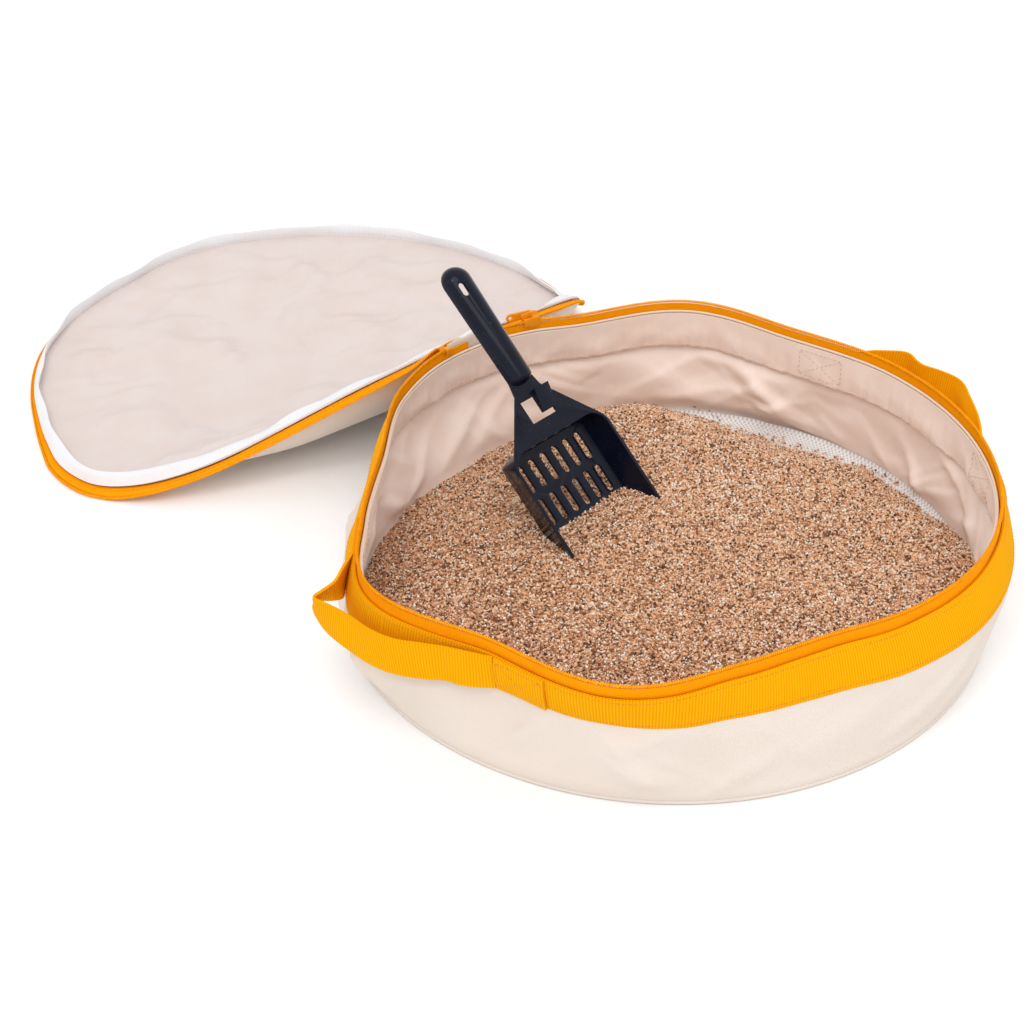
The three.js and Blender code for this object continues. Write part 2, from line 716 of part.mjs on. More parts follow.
// The deck between grip and pan, which spreads from the neck to the shoulders.
function scoopDeck() {
  const edge = [
    at(deckStart, neckHalfWidth), at(neckAt, neckHalfWidth),
    at(neckAt + neckHalfWidth, neckHalfWidth + scoopWall),
    ...panCorner(0).slice(shoulderSteps / 2),
  ];
  const outline = [...edge.map((point) => at(point.x, -point.y)), ...edge.reverse()];
  const deck = extruded(outline, scoopWall);
  deck.translate(0, 0, -scoopWall / 2);
  return deck;
}

// The pan: a tray with flared sides that run out to two points past the floor's edge.
function scoopPan() {
  const side = [
    at(panStart, 0), at(panStart, -scoopDepth + panRound), at(panStart + panRound, -scoopDepth),
    at(panSlopeAt, -scoopDepth), at(scoopLength, -scoopWall / 2), at(scoopLength, 0),
  ];
  const sideSolid = solidOf(laid(extruded(side, 2 * scoopHalfWidth), unitX, unitZ, unitY.clone().negate()));
  const trough = (inset, top) => {
    const points = [
      at(-scoopFloorHalfWidth + inset, -scoopDepth + inset),
      at(scoopFloorHalfWidth - inset, -scoopDepth + inset),
      at(scoopHalfWidth - inset, top), at(-scoopHalfWidth + inset, top),
    ];
    return laid(extruded(points, 2 * scoopLength), unitY, unitZ, unitX);
  };
  const plan = (inset) => {
    const corner = panCorner(inset);
    const half = scoopHalfWidth - inset;
    const mirrored = corner.map((point) => at(point.x, -point.y)).reverse();
    return solidOf(extruded([
      at(2 * scoopLength, -half), ...mirrored, ...corner, at(2 * scoopLength, half),
    ], 3 * scoopDepth));
  };
  const hollow = solidOf(trough(scoopWall, cutOverrun)).intersect(plan(scoopWall));
  return { body: sideSolid.intersect(solidOf(trough(0, 0))).intersect(plan(0)), hollow };
}

// The sifting slots in the pan's floor, as one cutter.
function scoopSlots() {
  const cutters = [];
  for (let row = 0; row < slotRows; row += 1) {
    const start = slotStart + row * (slotLength + slotRowGap);
    for (let column = 0; column < slotColumns; column += 1) {
      const middle = (column - (slotColumns - 1) / 2) * slotPitch;
      const cutter = extruded(slotOutline(start, start + slotLength, middle, slotWidth), 2 * scoopWall);
      cutter.translate(0, 0, -scoopDepth + scoopWall / 2);
      cutters.push(cutter);
    }
  }
  return joined(...cutters);
}

// The raised hook beside the window, which hangs the scoop on the rim.
function scoopHook() {
  const end = windowAt + hookLength;
  const start = windowAt - hookBack;
  const profile = [
    at(end, -scoopWall), at(end, 0), at(windowAt, hookRise), at(start, hookRise + scoopWall / 2),
    at(start, -scoopWall),
  ];
  const hook = laid(extruded(profile, windowHalfWidth + hookSide - hookStart), unitX, unitZ,
    unitY.clone().negate());
  hook.translate(0, (hookStart + windowHalfWidth + hookSide) / 2, 0);
  return solidOf(hook);
}

function addScoop() {
  const group = scoopGroup();
  box.add(group);
  const pan = scoopPan();
  const windowEnd = windowAt + windowLength;
  const windowOutline = [
    at(windowAt, -windowHalfWidth), at(windowEnd, -windowHalfWidth), at(windowEnd, windowHalfWidth),
    at(windowAt + hookLength + seamGap, windowHalfWidth), at(windowAt + hookLength + seamGap, hookStart),
    at(windowAt, hookStart),
  ];
  const boss = new THREE.CylinderGeometry(bossRadius, bossRadius, bossRise + scoopWall, roundSides);
  boss.rotateX(Math.PI / 2);
  boss.translate(windowAt + bossInset, -windowHalfWidth - bossInset, (bossRise - scoopWall) / 2);
  const hangOutline = slotOutline(hangSlotAt, hangSlotAt + hangSlotLength, -hangSlotOffset, hangSlotWidth);
  const hangSlot = extruded(hangOutline, 2 * scoopDepth);
  const scoop = scoopGrip()
    .add(solidOf(scoopDeck())).add(pan.body).subtract(pan.hollow)
    .subtract(solidOf(extruded(windowOutline, 3 * scoopWall)))
    .add(scoopHook()).add(solidOf(boss))
    .subtract(scoopSlots()).subtract(solidOf(hangSlot));
  addPart(group, "scoop", geometryOf(scoop), scoopNavy);
}

// What a bank leaves out of the litter: all above a slope that meets the floor at its toe.
function litterBank({ angle, toe }, top) {
  const reach = 2 * rimRadius;
  const run = litterDepth / Math.tan(radians(litterBankSlope));
  const slope = block(0, reach, -reach, reach, 0, reach);
  slope.rotateY(radians(litterBankSlope));
  slope.translate(toe - run, 0, top);
  slope.rotateZ(radians(angle));
  return solidOf(slope);
}

// Litter fills the floor, banked down on one side, with the scoop's mouth pushed into it.
function addLitter() {
  const bottom = floorTop + 2 * seamGap + seamTapeThickness;
  const top = bottom + litterDepth;
  const edge = liningInner + wallSpread(0) - cornerRise - litterWallGap;
  const shoulder = edge - litterEdgeFall;
  const heap = solidOf(turned([
    at(0, bottom), at(edge, bottom), at(edge, top - litterEdgeFall), at(shoulder, top - litterEdgeFall / 2),
    at(rimRadius / 2, top), at(0, top),
  ]));
  const pocket = block(panStart, scoopLength + seamGap, -scoopHalfWidth - seamGap, scoopHalfWidth + seamGap,
    -scoopDepth - seamGap, scoopDepth);
  const group = scoopGroup();
  group.updateMatrixWorld();
  pocket.applyMatrix4(group.matrixWorld);
  const banks = litterBanks.map((bank) => litterBank(bank, top));
  const litter = banks.reduce((rest, bank) => rest.subtract(bank), heap).subtract(solidOf(pocket));
  addPart(box, "litter_bed", geometryOf(litter), litterBrown);
}

addTub();
addLid();
addSlider();
addHandle("left");
addHandle("right");
addLitter();
addScoop();

export default box;
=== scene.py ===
import bpy
import contextlib
import math
import numpy as np
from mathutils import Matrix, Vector


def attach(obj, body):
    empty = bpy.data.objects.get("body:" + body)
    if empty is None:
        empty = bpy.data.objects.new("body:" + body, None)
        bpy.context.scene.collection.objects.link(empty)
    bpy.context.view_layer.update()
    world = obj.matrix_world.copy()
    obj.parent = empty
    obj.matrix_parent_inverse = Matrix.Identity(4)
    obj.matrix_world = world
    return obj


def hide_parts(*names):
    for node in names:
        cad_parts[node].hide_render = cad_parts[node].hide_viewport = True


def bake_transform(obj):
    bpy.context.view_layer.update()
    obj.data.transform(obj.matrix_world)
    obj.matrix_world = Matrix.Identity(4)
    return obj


# Portable litter box: canvas tub, zip-on lid laid open, webbing handles, litter and a scoop
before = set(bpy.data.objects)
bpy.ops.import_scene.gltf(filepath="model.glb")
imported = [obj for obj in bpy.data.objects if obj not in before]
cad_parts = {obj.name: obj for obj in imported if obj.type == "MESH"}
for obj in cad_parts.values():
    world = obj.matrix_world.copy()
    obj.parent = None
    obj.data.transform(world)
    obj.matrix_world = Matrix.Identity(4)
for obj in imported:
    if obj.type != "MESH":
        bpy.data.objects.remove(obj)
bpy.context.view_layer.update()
mm = 0.001


# Camera, lights and floor
cameraSet = {"place": (-0.8299, -0.9069, 0.9277), "aim": (-0.0229, 0.1260, 0.0), "lens": 84.375,
             "sensor": 36, "near": 0.01, "far": 50}
# Each sun: (energy, turn in degrees, width in degrees).
lightSet = {"world": 0.95, "key": (0.75, (30, 0, -38), 42), "spark": (0.16, (34, 0, -70), 5),
            "floorTone": 0.96, "floorSize": 24}


def makeStage():
    scene = bpy.context.scene
    scene.view_settings.view_transform = "Standard"
    camera = bpy.data.objects.new("camera", bpy.data.cameras.new("camera"))
    scene.collection.objects.link(camera)
    camera.data.lens = cameraSet["lens"]
    camera.data.sensor_width = cameraSet["sensor"]
    camera.data.clip_start = cameraSet["near"]
    camera.data.clip_end = cameraSet["far"]
    camera.location = cameraSet["place"]
    heading = Vector(cameraSet["aim"]) - Vector(cameraSet["place"])
    camera.rotation_euler = heading.to_track_quat("-Z", "Y").to_euler()
    scene.camera = camera

    world = bpy.data.worlds.new("studio")
    scene.world = world
    world.use_nodes = True
    back = world.node_tree.nodes["Background"]
    back.inputs["Color"].default_value = (1, 1, 1, 1)
    back.inputs["Strength"].default_value = lightSet["world"]

    for name in ("key", "spark"):
        energy, turn, size = lightSet[name]
        lamp = bpy.data.lights.new(name, "SUN")
        lamp.energy = energy
        lamp.angle = math.radians(size)
        holder = bpy.data.objects.new(name, lamp)
        holder.rotation_euler = [math.radians(a) for a in turn]
        scene.collection.objects.link(holder)

    bpy.ops.object.select_all(action="DESELECT")
    bpy.ops.mesh.primitive_plane_add(size=lightSet["floorSize"], location=(0, 0, 0))
    floor = bpy.context.object
    floor.name = "floor"
    paint = bpy.data.materials.new("floorPaint")
    paint.use_nodes = True
    skin = paint.node_tree.nodes["Principled BSDF"]
    tone = lightSet["floorTone"]
    skin.inputs["Base Color"].default_value = (tone, tone, tone, 1)
    skin.inputs["Roughness"].default_value = 0.9
    skin.inputs["Specular IOR Level"].default_value = 0.1
    floor.data.materials.append(paint)


makeStage()
print("stage ready")


# Small helpers for making pieces
def clearSelection():
    bpy.ops.object.select_all(action="DESELECT")


def takeUp(piece):
    clearSelection()
    piece.select_set(True)
    bpy.context.view_layer.objects.active = piece


def placesOf(piece):
    flat = np.empty(len(piece.data.vertices) * 3)
    piece.data.vertices.foreach_get("co", flat)
    return flat.reshape(-1, 3)


def setPlaces(piece, places):
    piece.data.vertices.foreach_set("co", np.asarray(places, float).ravel())
    piece.data.update()


def applied(piece, kind, **settings):
    takeUp(piece)
    modifier = piece.modifiers.new(kind.lower(), kind)
    for key, value in settings.items():
        setattr(modifier, key, value)
    bpy.ops.object.modifier_apply(modifier=modifier.name)
    return piece


# Opens a piece for mesh operators with all of it selected, and closes it again.
@contextlib.contextmanager
def editing(piece):
    takeUp(piece)
    bpy.ops.object.mode_set(mode="EDIT")
    bpy.ops.mesh.select_all(action="SELECT")
    yield
    bpy.ops.object.mode_set(mode="OBJECT")


def facesOut(piece, merge=0):
    with editing(piece):
        if merge:
            bpy.ops.mesh.remove_doubles(threshold=merge)
        bpy.ops.mesh.normals_make_consistent(inside=False)
    return piece


def degreesOf(places):
    return np.degrees(np.arctan2(places[:, 1], places[:, 0]))


def reachOf(places):
    return np.hypot(places[:, 0], places[:, 1])


# Places from distances out, turns in radians and heights.
def roundPlaces(reach, turn, height):
    return np.stack(np.broadcast_arrays(reach * np.cos(turn), reach * np.sin(turn), height), -1)


# Pairs of millimetres as pairs of metres.
def inMetres(pairs):
    return [(first * mm, second * mm) for first, second in pairs]


# The round section of a cord that runs as a ring.
def roundSection(radius, height, thick, sides):
    turns = [2 * math.pi * k / sides for k in range(sides)]
    return [(radius + thick * math.cos(a), height + thick * math.sin(a)) for a in turns]


def smooth(piece, angle=50):
    takeUp(piece)
    bpy.ops.object.shade_smooth_by_angle(angle=math.radians(angle))
    return piece


# A band round the Z axis: a circle extruded and widened through (radius, height) pairs.
def ringBand(name, profile, sides=360, closed=False, capped=False):
    clearSelection()
    radius, height = profile[0]
    bpy.ops.mesh.primitive_circle_add(vertices=sides, radius=radius, location=(0, 0, height),
                                      calc_uvs=False)
    piece = bpy.context.object
    piece.name = name
    bpy.ops.object.transform_apply(location=True, rotation=True, scale=True)
    steps = list(profile) + ([profile[0]] if closed else [])
    with editing(piece):
        for (oldRadius, oldHeight), (newRadius, newHeight) in zip(steps, steps[1:]):
            move = {"value": (0, 0, newHeight - oldHeight)}
            bpy.ops.mesh.extrude_region_move(TRANSFORM_OT_translate=move)
            grow = newRadius / oldRadius
            bpy.ops.transform.resize(value=(grow, grow, 1), center_override=(0, 0, newHeight))
        if capped:
            bpy.ops.mesh.edge_face_add()
    if closed:
        facesOut(piece, merge=0.01 * mm)
    return piece


# One whole-number value of every item of a mesh, such as the vertex of each loop.
def columnOf(items, key):
    values = np.empty(len(items), int)
    items.foreach_get(key, values)
    return values


def layUv(piece, uv):
    piece.data.uv_layers.new(name="UVMap").data.foreach_set("uv", uv.ravel())
    return piece


# Lays a UV map in metres: along the ring, and up the band or out from the middle.
def ringUv(piece, across="height", radius=0.2):
    mesh, places = piece.data, placesOf(piece)
    loops = columnOf(mesh.loops, "vertex_index")
    starts, counts = columnOf(mesh.polygons, "loop_start"), columnOf(mesh.polygons, "loop_total")
    angle = np.arctan2(places[:, 1], places[:, 0])[loops]
    first = np.repeat(angle[starts], counts)
    angle = first + (angle - first + math.pi) % (2 * math.pi) - math.pi
    other = places[:, 2] if across == "height" else reachOf(places)
    return layUv(piece, np.stack([angle * radius, other[loops]], 1))


def flatUv(piece, scale=(1, 1)):
    return layUv(piece, placesOf(piece)[columnOf(piece.data.loops, "vertex_index")][:, :2] * scale)


# Removes what lies inside, or outside, a range of degrees round the Z axis.
def keepArc(piece, start, end, inside=True):
    angle = np.mod(degreesOf(placesOf(piece)) - start, 360)
    within = angle <= (end - start) + 0.0001
    takeUp(piece)
    bpy.ops.object.mode_set(mode="EDIT")
    bpy.ops.mesh.select_all(action="DESELECT")
    bpy.ops.object.mode_set(mode="OBJECT")
    piece.data.vertices.foreach_set("select", (~within if inside else within))
    bpy.ops.object.mode_set(mode="EDIT")
    bpy.ops.mesh.select_mode(type="VERT")
    bpy.ops.mesh.delete(type="VERT")
    bpy.ops.object.mode_set(mode="OBJECT")
    return piece


def dress(piece, material, nodes=()):
    piece.data.materials.clear()
    piece.data.materials.append(material)
    if nodes:
        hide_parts(*nodes)
    return piece


# Gives a shaped sheet its thickness and its finish.
def sewn(piece, thickness, material, nodes, angle=50):
    applied(piece, "SOLIDIFY", thickness=thickness, offset=0)
    facesOut(piece)
    smooth(piece, angle)
    return dress(piece, material, nodes)


def easeStep(t):
    t = np.clip(t, 0, 1)
    return t * t * (3 - 2 * t)


# Makes one mesh of many copies of a small template, each with its own place and tone.
def manyOf(name, template, matrices, tones=None):
    source = placesOf(template)
    polygons = [tuple(p.vertices) for p in template.data.polygons]
    count, size = len(matrices), len(source)
    ends = np.concatenate([source, np.ones((size, 1))], 1)
    places = np.einsum("nij,kj->nki", np.asarray(matrices), ends)[:, :, :3].reshape(-1, 3)
    sizes = np.array([len(p) for p in polygons])
    flat = np.concatenate([np.array(p) for p in polygons])
    corners = (flat[None, :] + (np.arange(count) * size)[:, None]).ravel()
    mesh = bpy.data.meshes.new(name)
    mesh.vertices.add(len(places))
    mesh.vertices.foreach_set("co", places.ravel())
    mesh.loops.add(len(corners))
    mesh.loops.foreach_set("vertex_index", corners)
    totals = np.tile(sizes, count)
    mesh.polygons.add(len(totals))
    mesh.polygons.foreach_set("loop_start", np.concatenate([[0], np.cumsum(totals)[:-1]]))
    mesh.update(calc_edges=True)
    mesh.validate()
    if tones is not None:
        attribute = mesh.attributes.new("tone", "FLOAT", "POINT")
        attribute.data.foreach_set("value", np.repeat(np.asarray(tones, np.float32), size))
    piece = bpy.data.objects.new(name, mesh)
    bpy.context.scene.collection.objects.link(piece)
    return piece


def discard(piece):
    bpy.data.objects.remove(piece, do_unlink=True)


# Finishes
def startMaterial(name, roughness, sheen=0.0, coat=0.0, specular=0.3):
    material = bpy.data.materials.new(name)
    material.use_nodes = True
    skin = material.node_tree.nodes["Principled BSDF"]
    skin.inputs["Roughness"].default_value = roughness
    skin.inputs["Sheen Weight"].default_value = sheen
    skin.inputs["Coat Weight"].default_value = coat
    skin.inputs["Specular IOR Level"].default_value = specular
    return material, material.node_tree


def toSkin(tree, value, socket="Base Color"):
    tree.links.new(value, tree.nodes["Principled BSDF"].inputs[socket])


def patternFrom(tree, space, scale=(1, 1, 1)):
    source = tree.nodes.new("ShaderNodeTexCoord")
    mapping = tree.nodes.new("ShaderNodeMapping")
    mapping.inputs["Scale"].default_value = scale
    tree.links.new(source.outputs[space], mapping.inputs["Vector"])
    return mapping.outputs["Vector"]


# The wave texture's scale for bands a metre apart.
bandScale = {"X": 0.314, "Y": 0.314, "DIAGONAL": 0.628}


def bands(tree, vector, pitch, direction="X", detail=0.0, wobble=0.0):
    wave = tree.nodes.new("ShaderNodeTexWave")
    wave.bands_direction = direction
    wave.inputs["Scale"].default_value = bandScale[direction] / pitch
    wave.inputs["Distortion"].default_value = wobble
    wave.inputs["Detail"].default_value = detail
    wave.inputs["Detail Scale"].default_value = 1.5
    tree.links.new(vector, wave.inputs["Vector"])
    return wave.outputs["Fac"]


def cloudy(tree, vector, size, detail=3.0, roughness=0.55):
    noise = tree.nodes.new("ShaderNodeTexNoise")
    noise.inputs["Scale"].default_value = 1 / size
    noise.inputs["Detail"].default_value = detail
    noise.inputs["Roughness"].default_value = roughness
    tree.links.new(vector, noise.inputs["Vector"])
    return noise.outputs["Fac"]


def ramp(tree, value, stops):
    node = tree.nodes.new("ShaderNodeValToRGB")
    while len(node.color_ramp.elements) < len(stops):
        node.color_ramp.elements.new(0.5)
    for element, (place, colour) in zip(node.color_ramp.elements, stops):
        element.position = place
        element.color = (*colour, 1)
    tree.links.new(value, node.inputs["Fac"])
    return node.outputs["Color"]


def mixed(tree, first, second, share, blend="MULTIPLY"):
    node = tree.nodes.new("ShaderNodeMix")
    node.data_type = "RGBA"
    node.blend_type = blend
    node.inputs["Factor"].default_value = share
    tree.links.new(first, node.inputs["A"])
    tree.links.new(second, node.inputs["B"])
    return node.outputs["Result"]


def added(tree, first, second, firstShare, secondShare):
    scaleFirst = tree.nodes.new("ShaderNodeMath")
    scaleFirst.operation = "MULTIPLY"
    scaleFirst.inputs[1].default_value = firstShare
    tree.links.new(first, scaleFirst.inputs[0])
    total = tree.nodes.new("ShaderNodeMath")
    total.operation = "MULTIPLY_ADD"
    total.inputs[1].default_value = secondShare
    tree.links.new(second, total.inputs[0])
    tree.links.new(scaleFirst.outputs[0], total.inputs[2])
    return total.outputs[0]


def raised(tree, height, depth, strength):
    bump = tree.nodes.new("ShaderNodeBump")
    bump.inputs["Strength"].default_value = strength
    bump.inputs["Distance"].default_value = depth
    tree.links.new(height, bump.inputs["Height"])
    toSkin(tree, bump.outputs["Normal"], "Normal")


# Two sets of threads that cross.
def weaveOf(tree, vector, first, second, share=0.5, direction="Y"):
    return added(tree, bands(tree, vector, first), bands(tree, vector, second, direction), share, 1 - share)


# Colours a weave with painted shade, darker on its low threads than on its high ones, with cloudy wear over
# it.
def shadedWovenSkin(tree, weave, tones, wear, worn, share):
    shade = ramp(tree, weave, tones)
    tint = ramp(tree, wear, [(0.3, plainWhite), (0.8, worn)])
    toSkin(tree, mixed(tree, shade, tint, share))


plainWhite = (1, 1, 1)
canvasFinish = {"light": (0.805, 0.72, 0.655), "dark": (0.775, 0.68, 0.61), "twillPitch": 1.25 * mm,
                "depth": 0.22 * mm}


def canvasMaterial():
    material, tree = startMaterial("creamTwill", 0.92, specular=0.12)
    vector = patternFrom(tree, "UV")
    twill = bands(tree, vector, canvasFinish["twillPitch"], "DIAGONAL")
    weave = added(tree, twill, cloudy(tree, vector, 2.2 * mm, 2.0), 0.55, 0.45)
    stain = cloudy(tree, vector, 70 * mm, 4.0)
    ground = ramp(tree, stain, [(0.3, canvasFinish["light"]), (0.75, canvasFinish["dark"])])
    # Painted shade: the weave's low threads are tinted darker and warmer than its high ones.
    tint = ramp(tree, weave, [(0.25, (0.93, 0.915, 0.89)), (0.6, plainWhite)])
    toSkin(tree, mixed(tree, ground, tint, 0.75))
    raised(tree, weave, canvasFinish["depth"], 0.7)
    return material


# A coated cloth: cloudy creases over a fine weave. Its colour is painted shade that follows the creases,
# darker where the crease field rises.
def liningMaterial(name, roughness, specular, size, light, dark, depth, strength):
    material, tree = startMaterial(name, roughness, specular=specular)
    vector = patternFrom(tree, "UV")
    creases = cloudy(tree, vector, size, 5.0, 0.6)
    toSkin(tree, ramp(tree, creases, [(0.25, light), (0.8, dark)]))
    weave = weaveOf(tree, vector, 0.9 * mm, 0.9 * mm)
    raised(tree, added(tree, creases, weave, 1.0, 0.04), depth, strength)
    return material


# Painted shade: the dark colour goes on the webbing's low threads and the light colour on its high ones.
webbingShadeFinish = {"light": (0.94, 0.445, 0.002), "dark": (0.81, 0.315, 0.001), "ribPitch": 1.75 * mm}


def webbingMaterial():
    material, tree = startMaterial("orangeWebbing", 0.95, specular=0.05)
    vector = patternFrom(tree, "UV")
    ribs = bands(tree, vector, webbingShadeFinish["ribPitch"], "X", 1.0, 0.6)
    weave = added(tree, ribs, bands(tree, vector, 0.8 * mm, "Y"), 0.7, 0.3)
    tones = [(0.15, webbingShadeFinish["dark"]), (0.6, webbingShadeFinish["light"])]
    shadedWovenSkin(tree, weave, tones, cloudy(tree, vector, 35 * mm, 4.0), (0.97, 0.93, 0.9), 0.6)
    raised(tree, weave, 0.3 * mm, 0.9)
    return material


def zipTapeMaterial():
    material, tree = startMaterial("orangeZipTape", 0.95, specular=0.05)
    vector = patternFrom(tree, "UV")
    weave = weaveOf(tree, vector, 0.9 * mm, 1.3 * mm)
    # Painted shade: the tape's low threads are darker orange than its high ones.
    tones = [(0.1, (0.88, 0.27, 0.001)), (0.7, (1.0, 0.385, 0.002))]
    shadedWovenSkin(tree, weave, tones, cloudy(tree, vector, 20 * mm), (0.95, 0.9, 0.85), 0.5)
    raised(tree, weave, 0.2 * mm, 0.8)
    return material


# Thread or plastic whose tone changes in small blotches.
def blotchyMaterial(name, size, dark, light, roughness=0.6, sheen=0.1, specular=0.3):
    material, tree = startMaterial(name, roughness, sheen=sheen, specular=specular)
    blotch = cloudy(tree, patternFrom(tree, "Object"), size, 2.0)
    toSkin(tree, ramp(tree, blotch, [(0.3, dark), (0.7, light)]))
    return material


def enamelMaterial():
    material, tree = startMaterial("orangeEnamel", 0.4, coat=0.12, specular=0.35)
    vector = patternFrom(tree, "Object")
    blotch = cloudy(tree, vector, 5 * mm)
    toSkin(tree, ramp(tree, blotch, [(0.3, (0.84, 0.27, 0.003)), (0.75, (0.93, 0.36, 0.006))]))
    raised(tree, cloudy(tree, vector, 1.4 * mm), 0.08 * mm, 0.5)
    return material


def tapeMaterial(name, light, dark):
    material, tree = startMaterial(name, 0.8, sheen=0.1)
    weave = weaveOf(tree, patternFrom(tree, "UV"), 1.1 * mm, 1.5 * mm, 0.6, "DIAGONAL")
    # Painted shade: the weave's low threads take the dark colour and its high threads the light one.
    toSkin(tree, ramp(tree, weave, [(0.2, dark), (0.6, light)]))
    raised(tree, weave, 0.2 * mm, 0.8)
    return material


def zigzagMaterial():
    material, tree = startMaterial("zigzagTape", 0.8, sheen=0.1)
    zig = bands(tree, patternFrom(tree, "UV"), 3.2 * mm, "DIAGONAL")
    zag = bands(tree, patternFrom(tree, "UV", (-1, 1, 1)), 3.2 * mm, "DIAGONAL")
    mesh = added(tree, zig, zag, 0.5, 0.5)
    toSkin(tree, ramp(tree, mesh, [(0.25, (0.62, 0.58, 0.56)), (0.55, (0.88, 0.87, 0.87))]))
    raised(tree, mesh, 0.4 * mm, 0.9)
    return material


# Each grain takes its colour from its own tone, from dark bark to pale wood; the tones also carry painted
# shade, darker towards the tub's left side.
grainStops = [(0.0, (0.10, 0.04, 0.02)), (0.2, (0.42, 0.19, 0.10)), (0.45, (0.86, 0.48, 0.27)),
              (0.7, (0.98, 0.68, 0.45)), (0.88, (1.0, 0.88, 0.72)), (1.0, (1.0, 0.98, 0.94))]
heapStops = [(0.0, (0.14, 0.06, 0.03)), (0.3, (0.45, 0.23, 0.125)), (0.7, (0.78, 0.45, 0.27)),
             (1.0, (0.95, 0.68, 0.48))]


def grainMaterial():
    material, tree = startMaterial("litterGrain", 0.82, specular=0.25)
    tone = tree.nodes.new("ShaderNodeAttribute")
    tone.attribute_name = "tone"
    colour = ramp(tree, tone.outputs["Fac"], grainStops)
    speck = cloudy(tree, patternFrom(tree, "Object"), 0.9 * mm, 2.0)
    tint = ramp(tree, speck, [(0.3, (0.78, 0.75, 0.72)), (0.65, plainWhite)])
    toSkin(tree, mixed(tree, colour, tint, 0.8))
    return material


def heapMaterial():
    material, tree = startMaterial("litterGround", 0.9, specular=0.2)
    cells = tree.nodes.new("ShaderNodeTexVoronoi")
    cells.inputs["Scale"].default_value = 1 / (2.3 * mm)
    tree.links.new(patternFrom(tree, "Object"), cells.inputs["Vector"])
    split = tree.nodes.new("ShaderNodeSeparateColor")
    tree.links.new(cells.outputs["Color"], split.inputs["Color"])
    toSkin(tree, ramp(tree, split.outputs["Red"], heapStops))
    raised(tree, cells.outputs["Distance"], 1.2 * mm, 0.8)
    return material


def scoopMaterial():
    material, tree = startMaterial("navyPlastic", 0.2, specular=0.2)
    vector = patternFrom(tree, "Object")
    cloud = cloudy(tree, vector, 26 * mm, 4.0)
    base = ramp(tree, cloud, [(0.3, (0.003, 0.004, 0.011)), (0.75, (0.005, 0.008, 0.022))])
    speck = cloudy(tree, vector, 0.75 * mm, 1.0)
    dots = ramp(tree, speck, [(0.72, (0, 0, 0)), (0.80, (0.10, 0.10, 0.12))])
    toSkin(tree, mixed(tree, base, dots, 1.0, "ADD"))
    toSkin(tree, ramp(tree, cloud, [(0.3, (0.14, 0.14, 0.14)), (0.8, (0.27, 0.27, 0.27))]), "Roughness")
    raised(tree, cloudy(tree, vector, 4 * mm), 0.12 * mm, 0.4)
    return material


canvas = canvasMaterial()
# One lining cloth in two colours: the tub's copy is painted lighter against the shade inside the tub, and
# the lid's copy is painted darker where it lies open to the light.
lining = liningMaterial(
    "peachLiningLighterCopy", 0.62, 0.22, 28 * mm, (0.975, 0.845, 0.765), (0.93, 0.75, 0.645), 1.1 * mm, 0.55)
lidLiningDarkerCopy = liningMaterial(
    "liningDarkerCopy", 0.58, 0.25, 42 * mm, (0.715, 0.63, 0.60), (0.675, 0.565, 0.52), 1.2 * mm, 0.5)
webbing = webbingMaterial()
zipTape = zipTapeMaterial()
coil = blotchyMaterial("orangeCoil", 3 * mm, (0.93, 0.33, 0.002), (1.0, 0.43, 0.004), 0.7, 0.0, 0.12)
enamel = enamelMaterial()
whiteTape = tapeMaterial("whiteTape", (0.865, 0.86, 0.875), (0.74, 0.735, 0.76))
pipingCloth = tapeMaterial("palePiping", (0.90, 0.74, 0.57), (0.78, 0.60, 0.44))
zigzagCloth = zigzagMaterial()
orangeThread = blotchyMaterial("orangeThread", 0.8 * mm, (0.62, 0.20, 0.002), (0.90, 0.36, 0.004))
tanThread = blotchyMaterial("tanThread", 0.8 * mm, (0.66, 0.47, 0.34), (0.80, 0.62, 0.49))
whiteThread = blotchyMaterial("whiteThread", 0.8 * mm, (0.72, 0.68, 0.65), (0.86, 0.83, 0.8))
grain = grainMaterial()
heapGround = heapMaterial()
navy = scoopMaterial()
print("finishes ready")


# The tub's shape
# The soft rim's line: (angle in degrees, millimetres that it stands out from the round). The tuck stands in.
rimShape = {
    "radius": 200 * mm,
    "line": [(0, 0.5), (24, -4.6), (44, 9.5), (68, -4.2), (77, -0.6), (98, 0), (112, -7), (134, -20.5),
             (156, -8.5), (174, 13), (198, -1), (224, 11), (241, -8), (258, -17), (276, -7.5), (290, 0),
             (330, 4.5)],
    "tuck": [(0, 0), (180, 0), (188, 2), (195, 5.5), (203, 8.5), (212, 9.5), (221, 11.5), (228, 8),
             (234, 3), (240, 0)],
    "gapCentre": 90, "gapHalf": 5.45, "tapeGap": (84.55, 90.0),
}
wallShape = {"height": 83 * mm, "tapeBottom": 77 * mm, "baseSpread": 2.5 * mm, "bulge": 2 * mm,
             "foot": 3.8 * mm, "radius": 201.9 * mm, "top": 79.5 * mm, "footTuck": 1.2 * mm,
             "topTuck": 0.7 * mm, "tuckFrom": 72 * mm, "tuckSpan": 8 * mm, "steady": 58 * mm,
             "folds": 3.4 * mm, "rows": 30, "sides": 540, "thick": 1.2 * mm,
             "creases": (4.2 * mm, 34, 12 * mm, 50 * mm)}


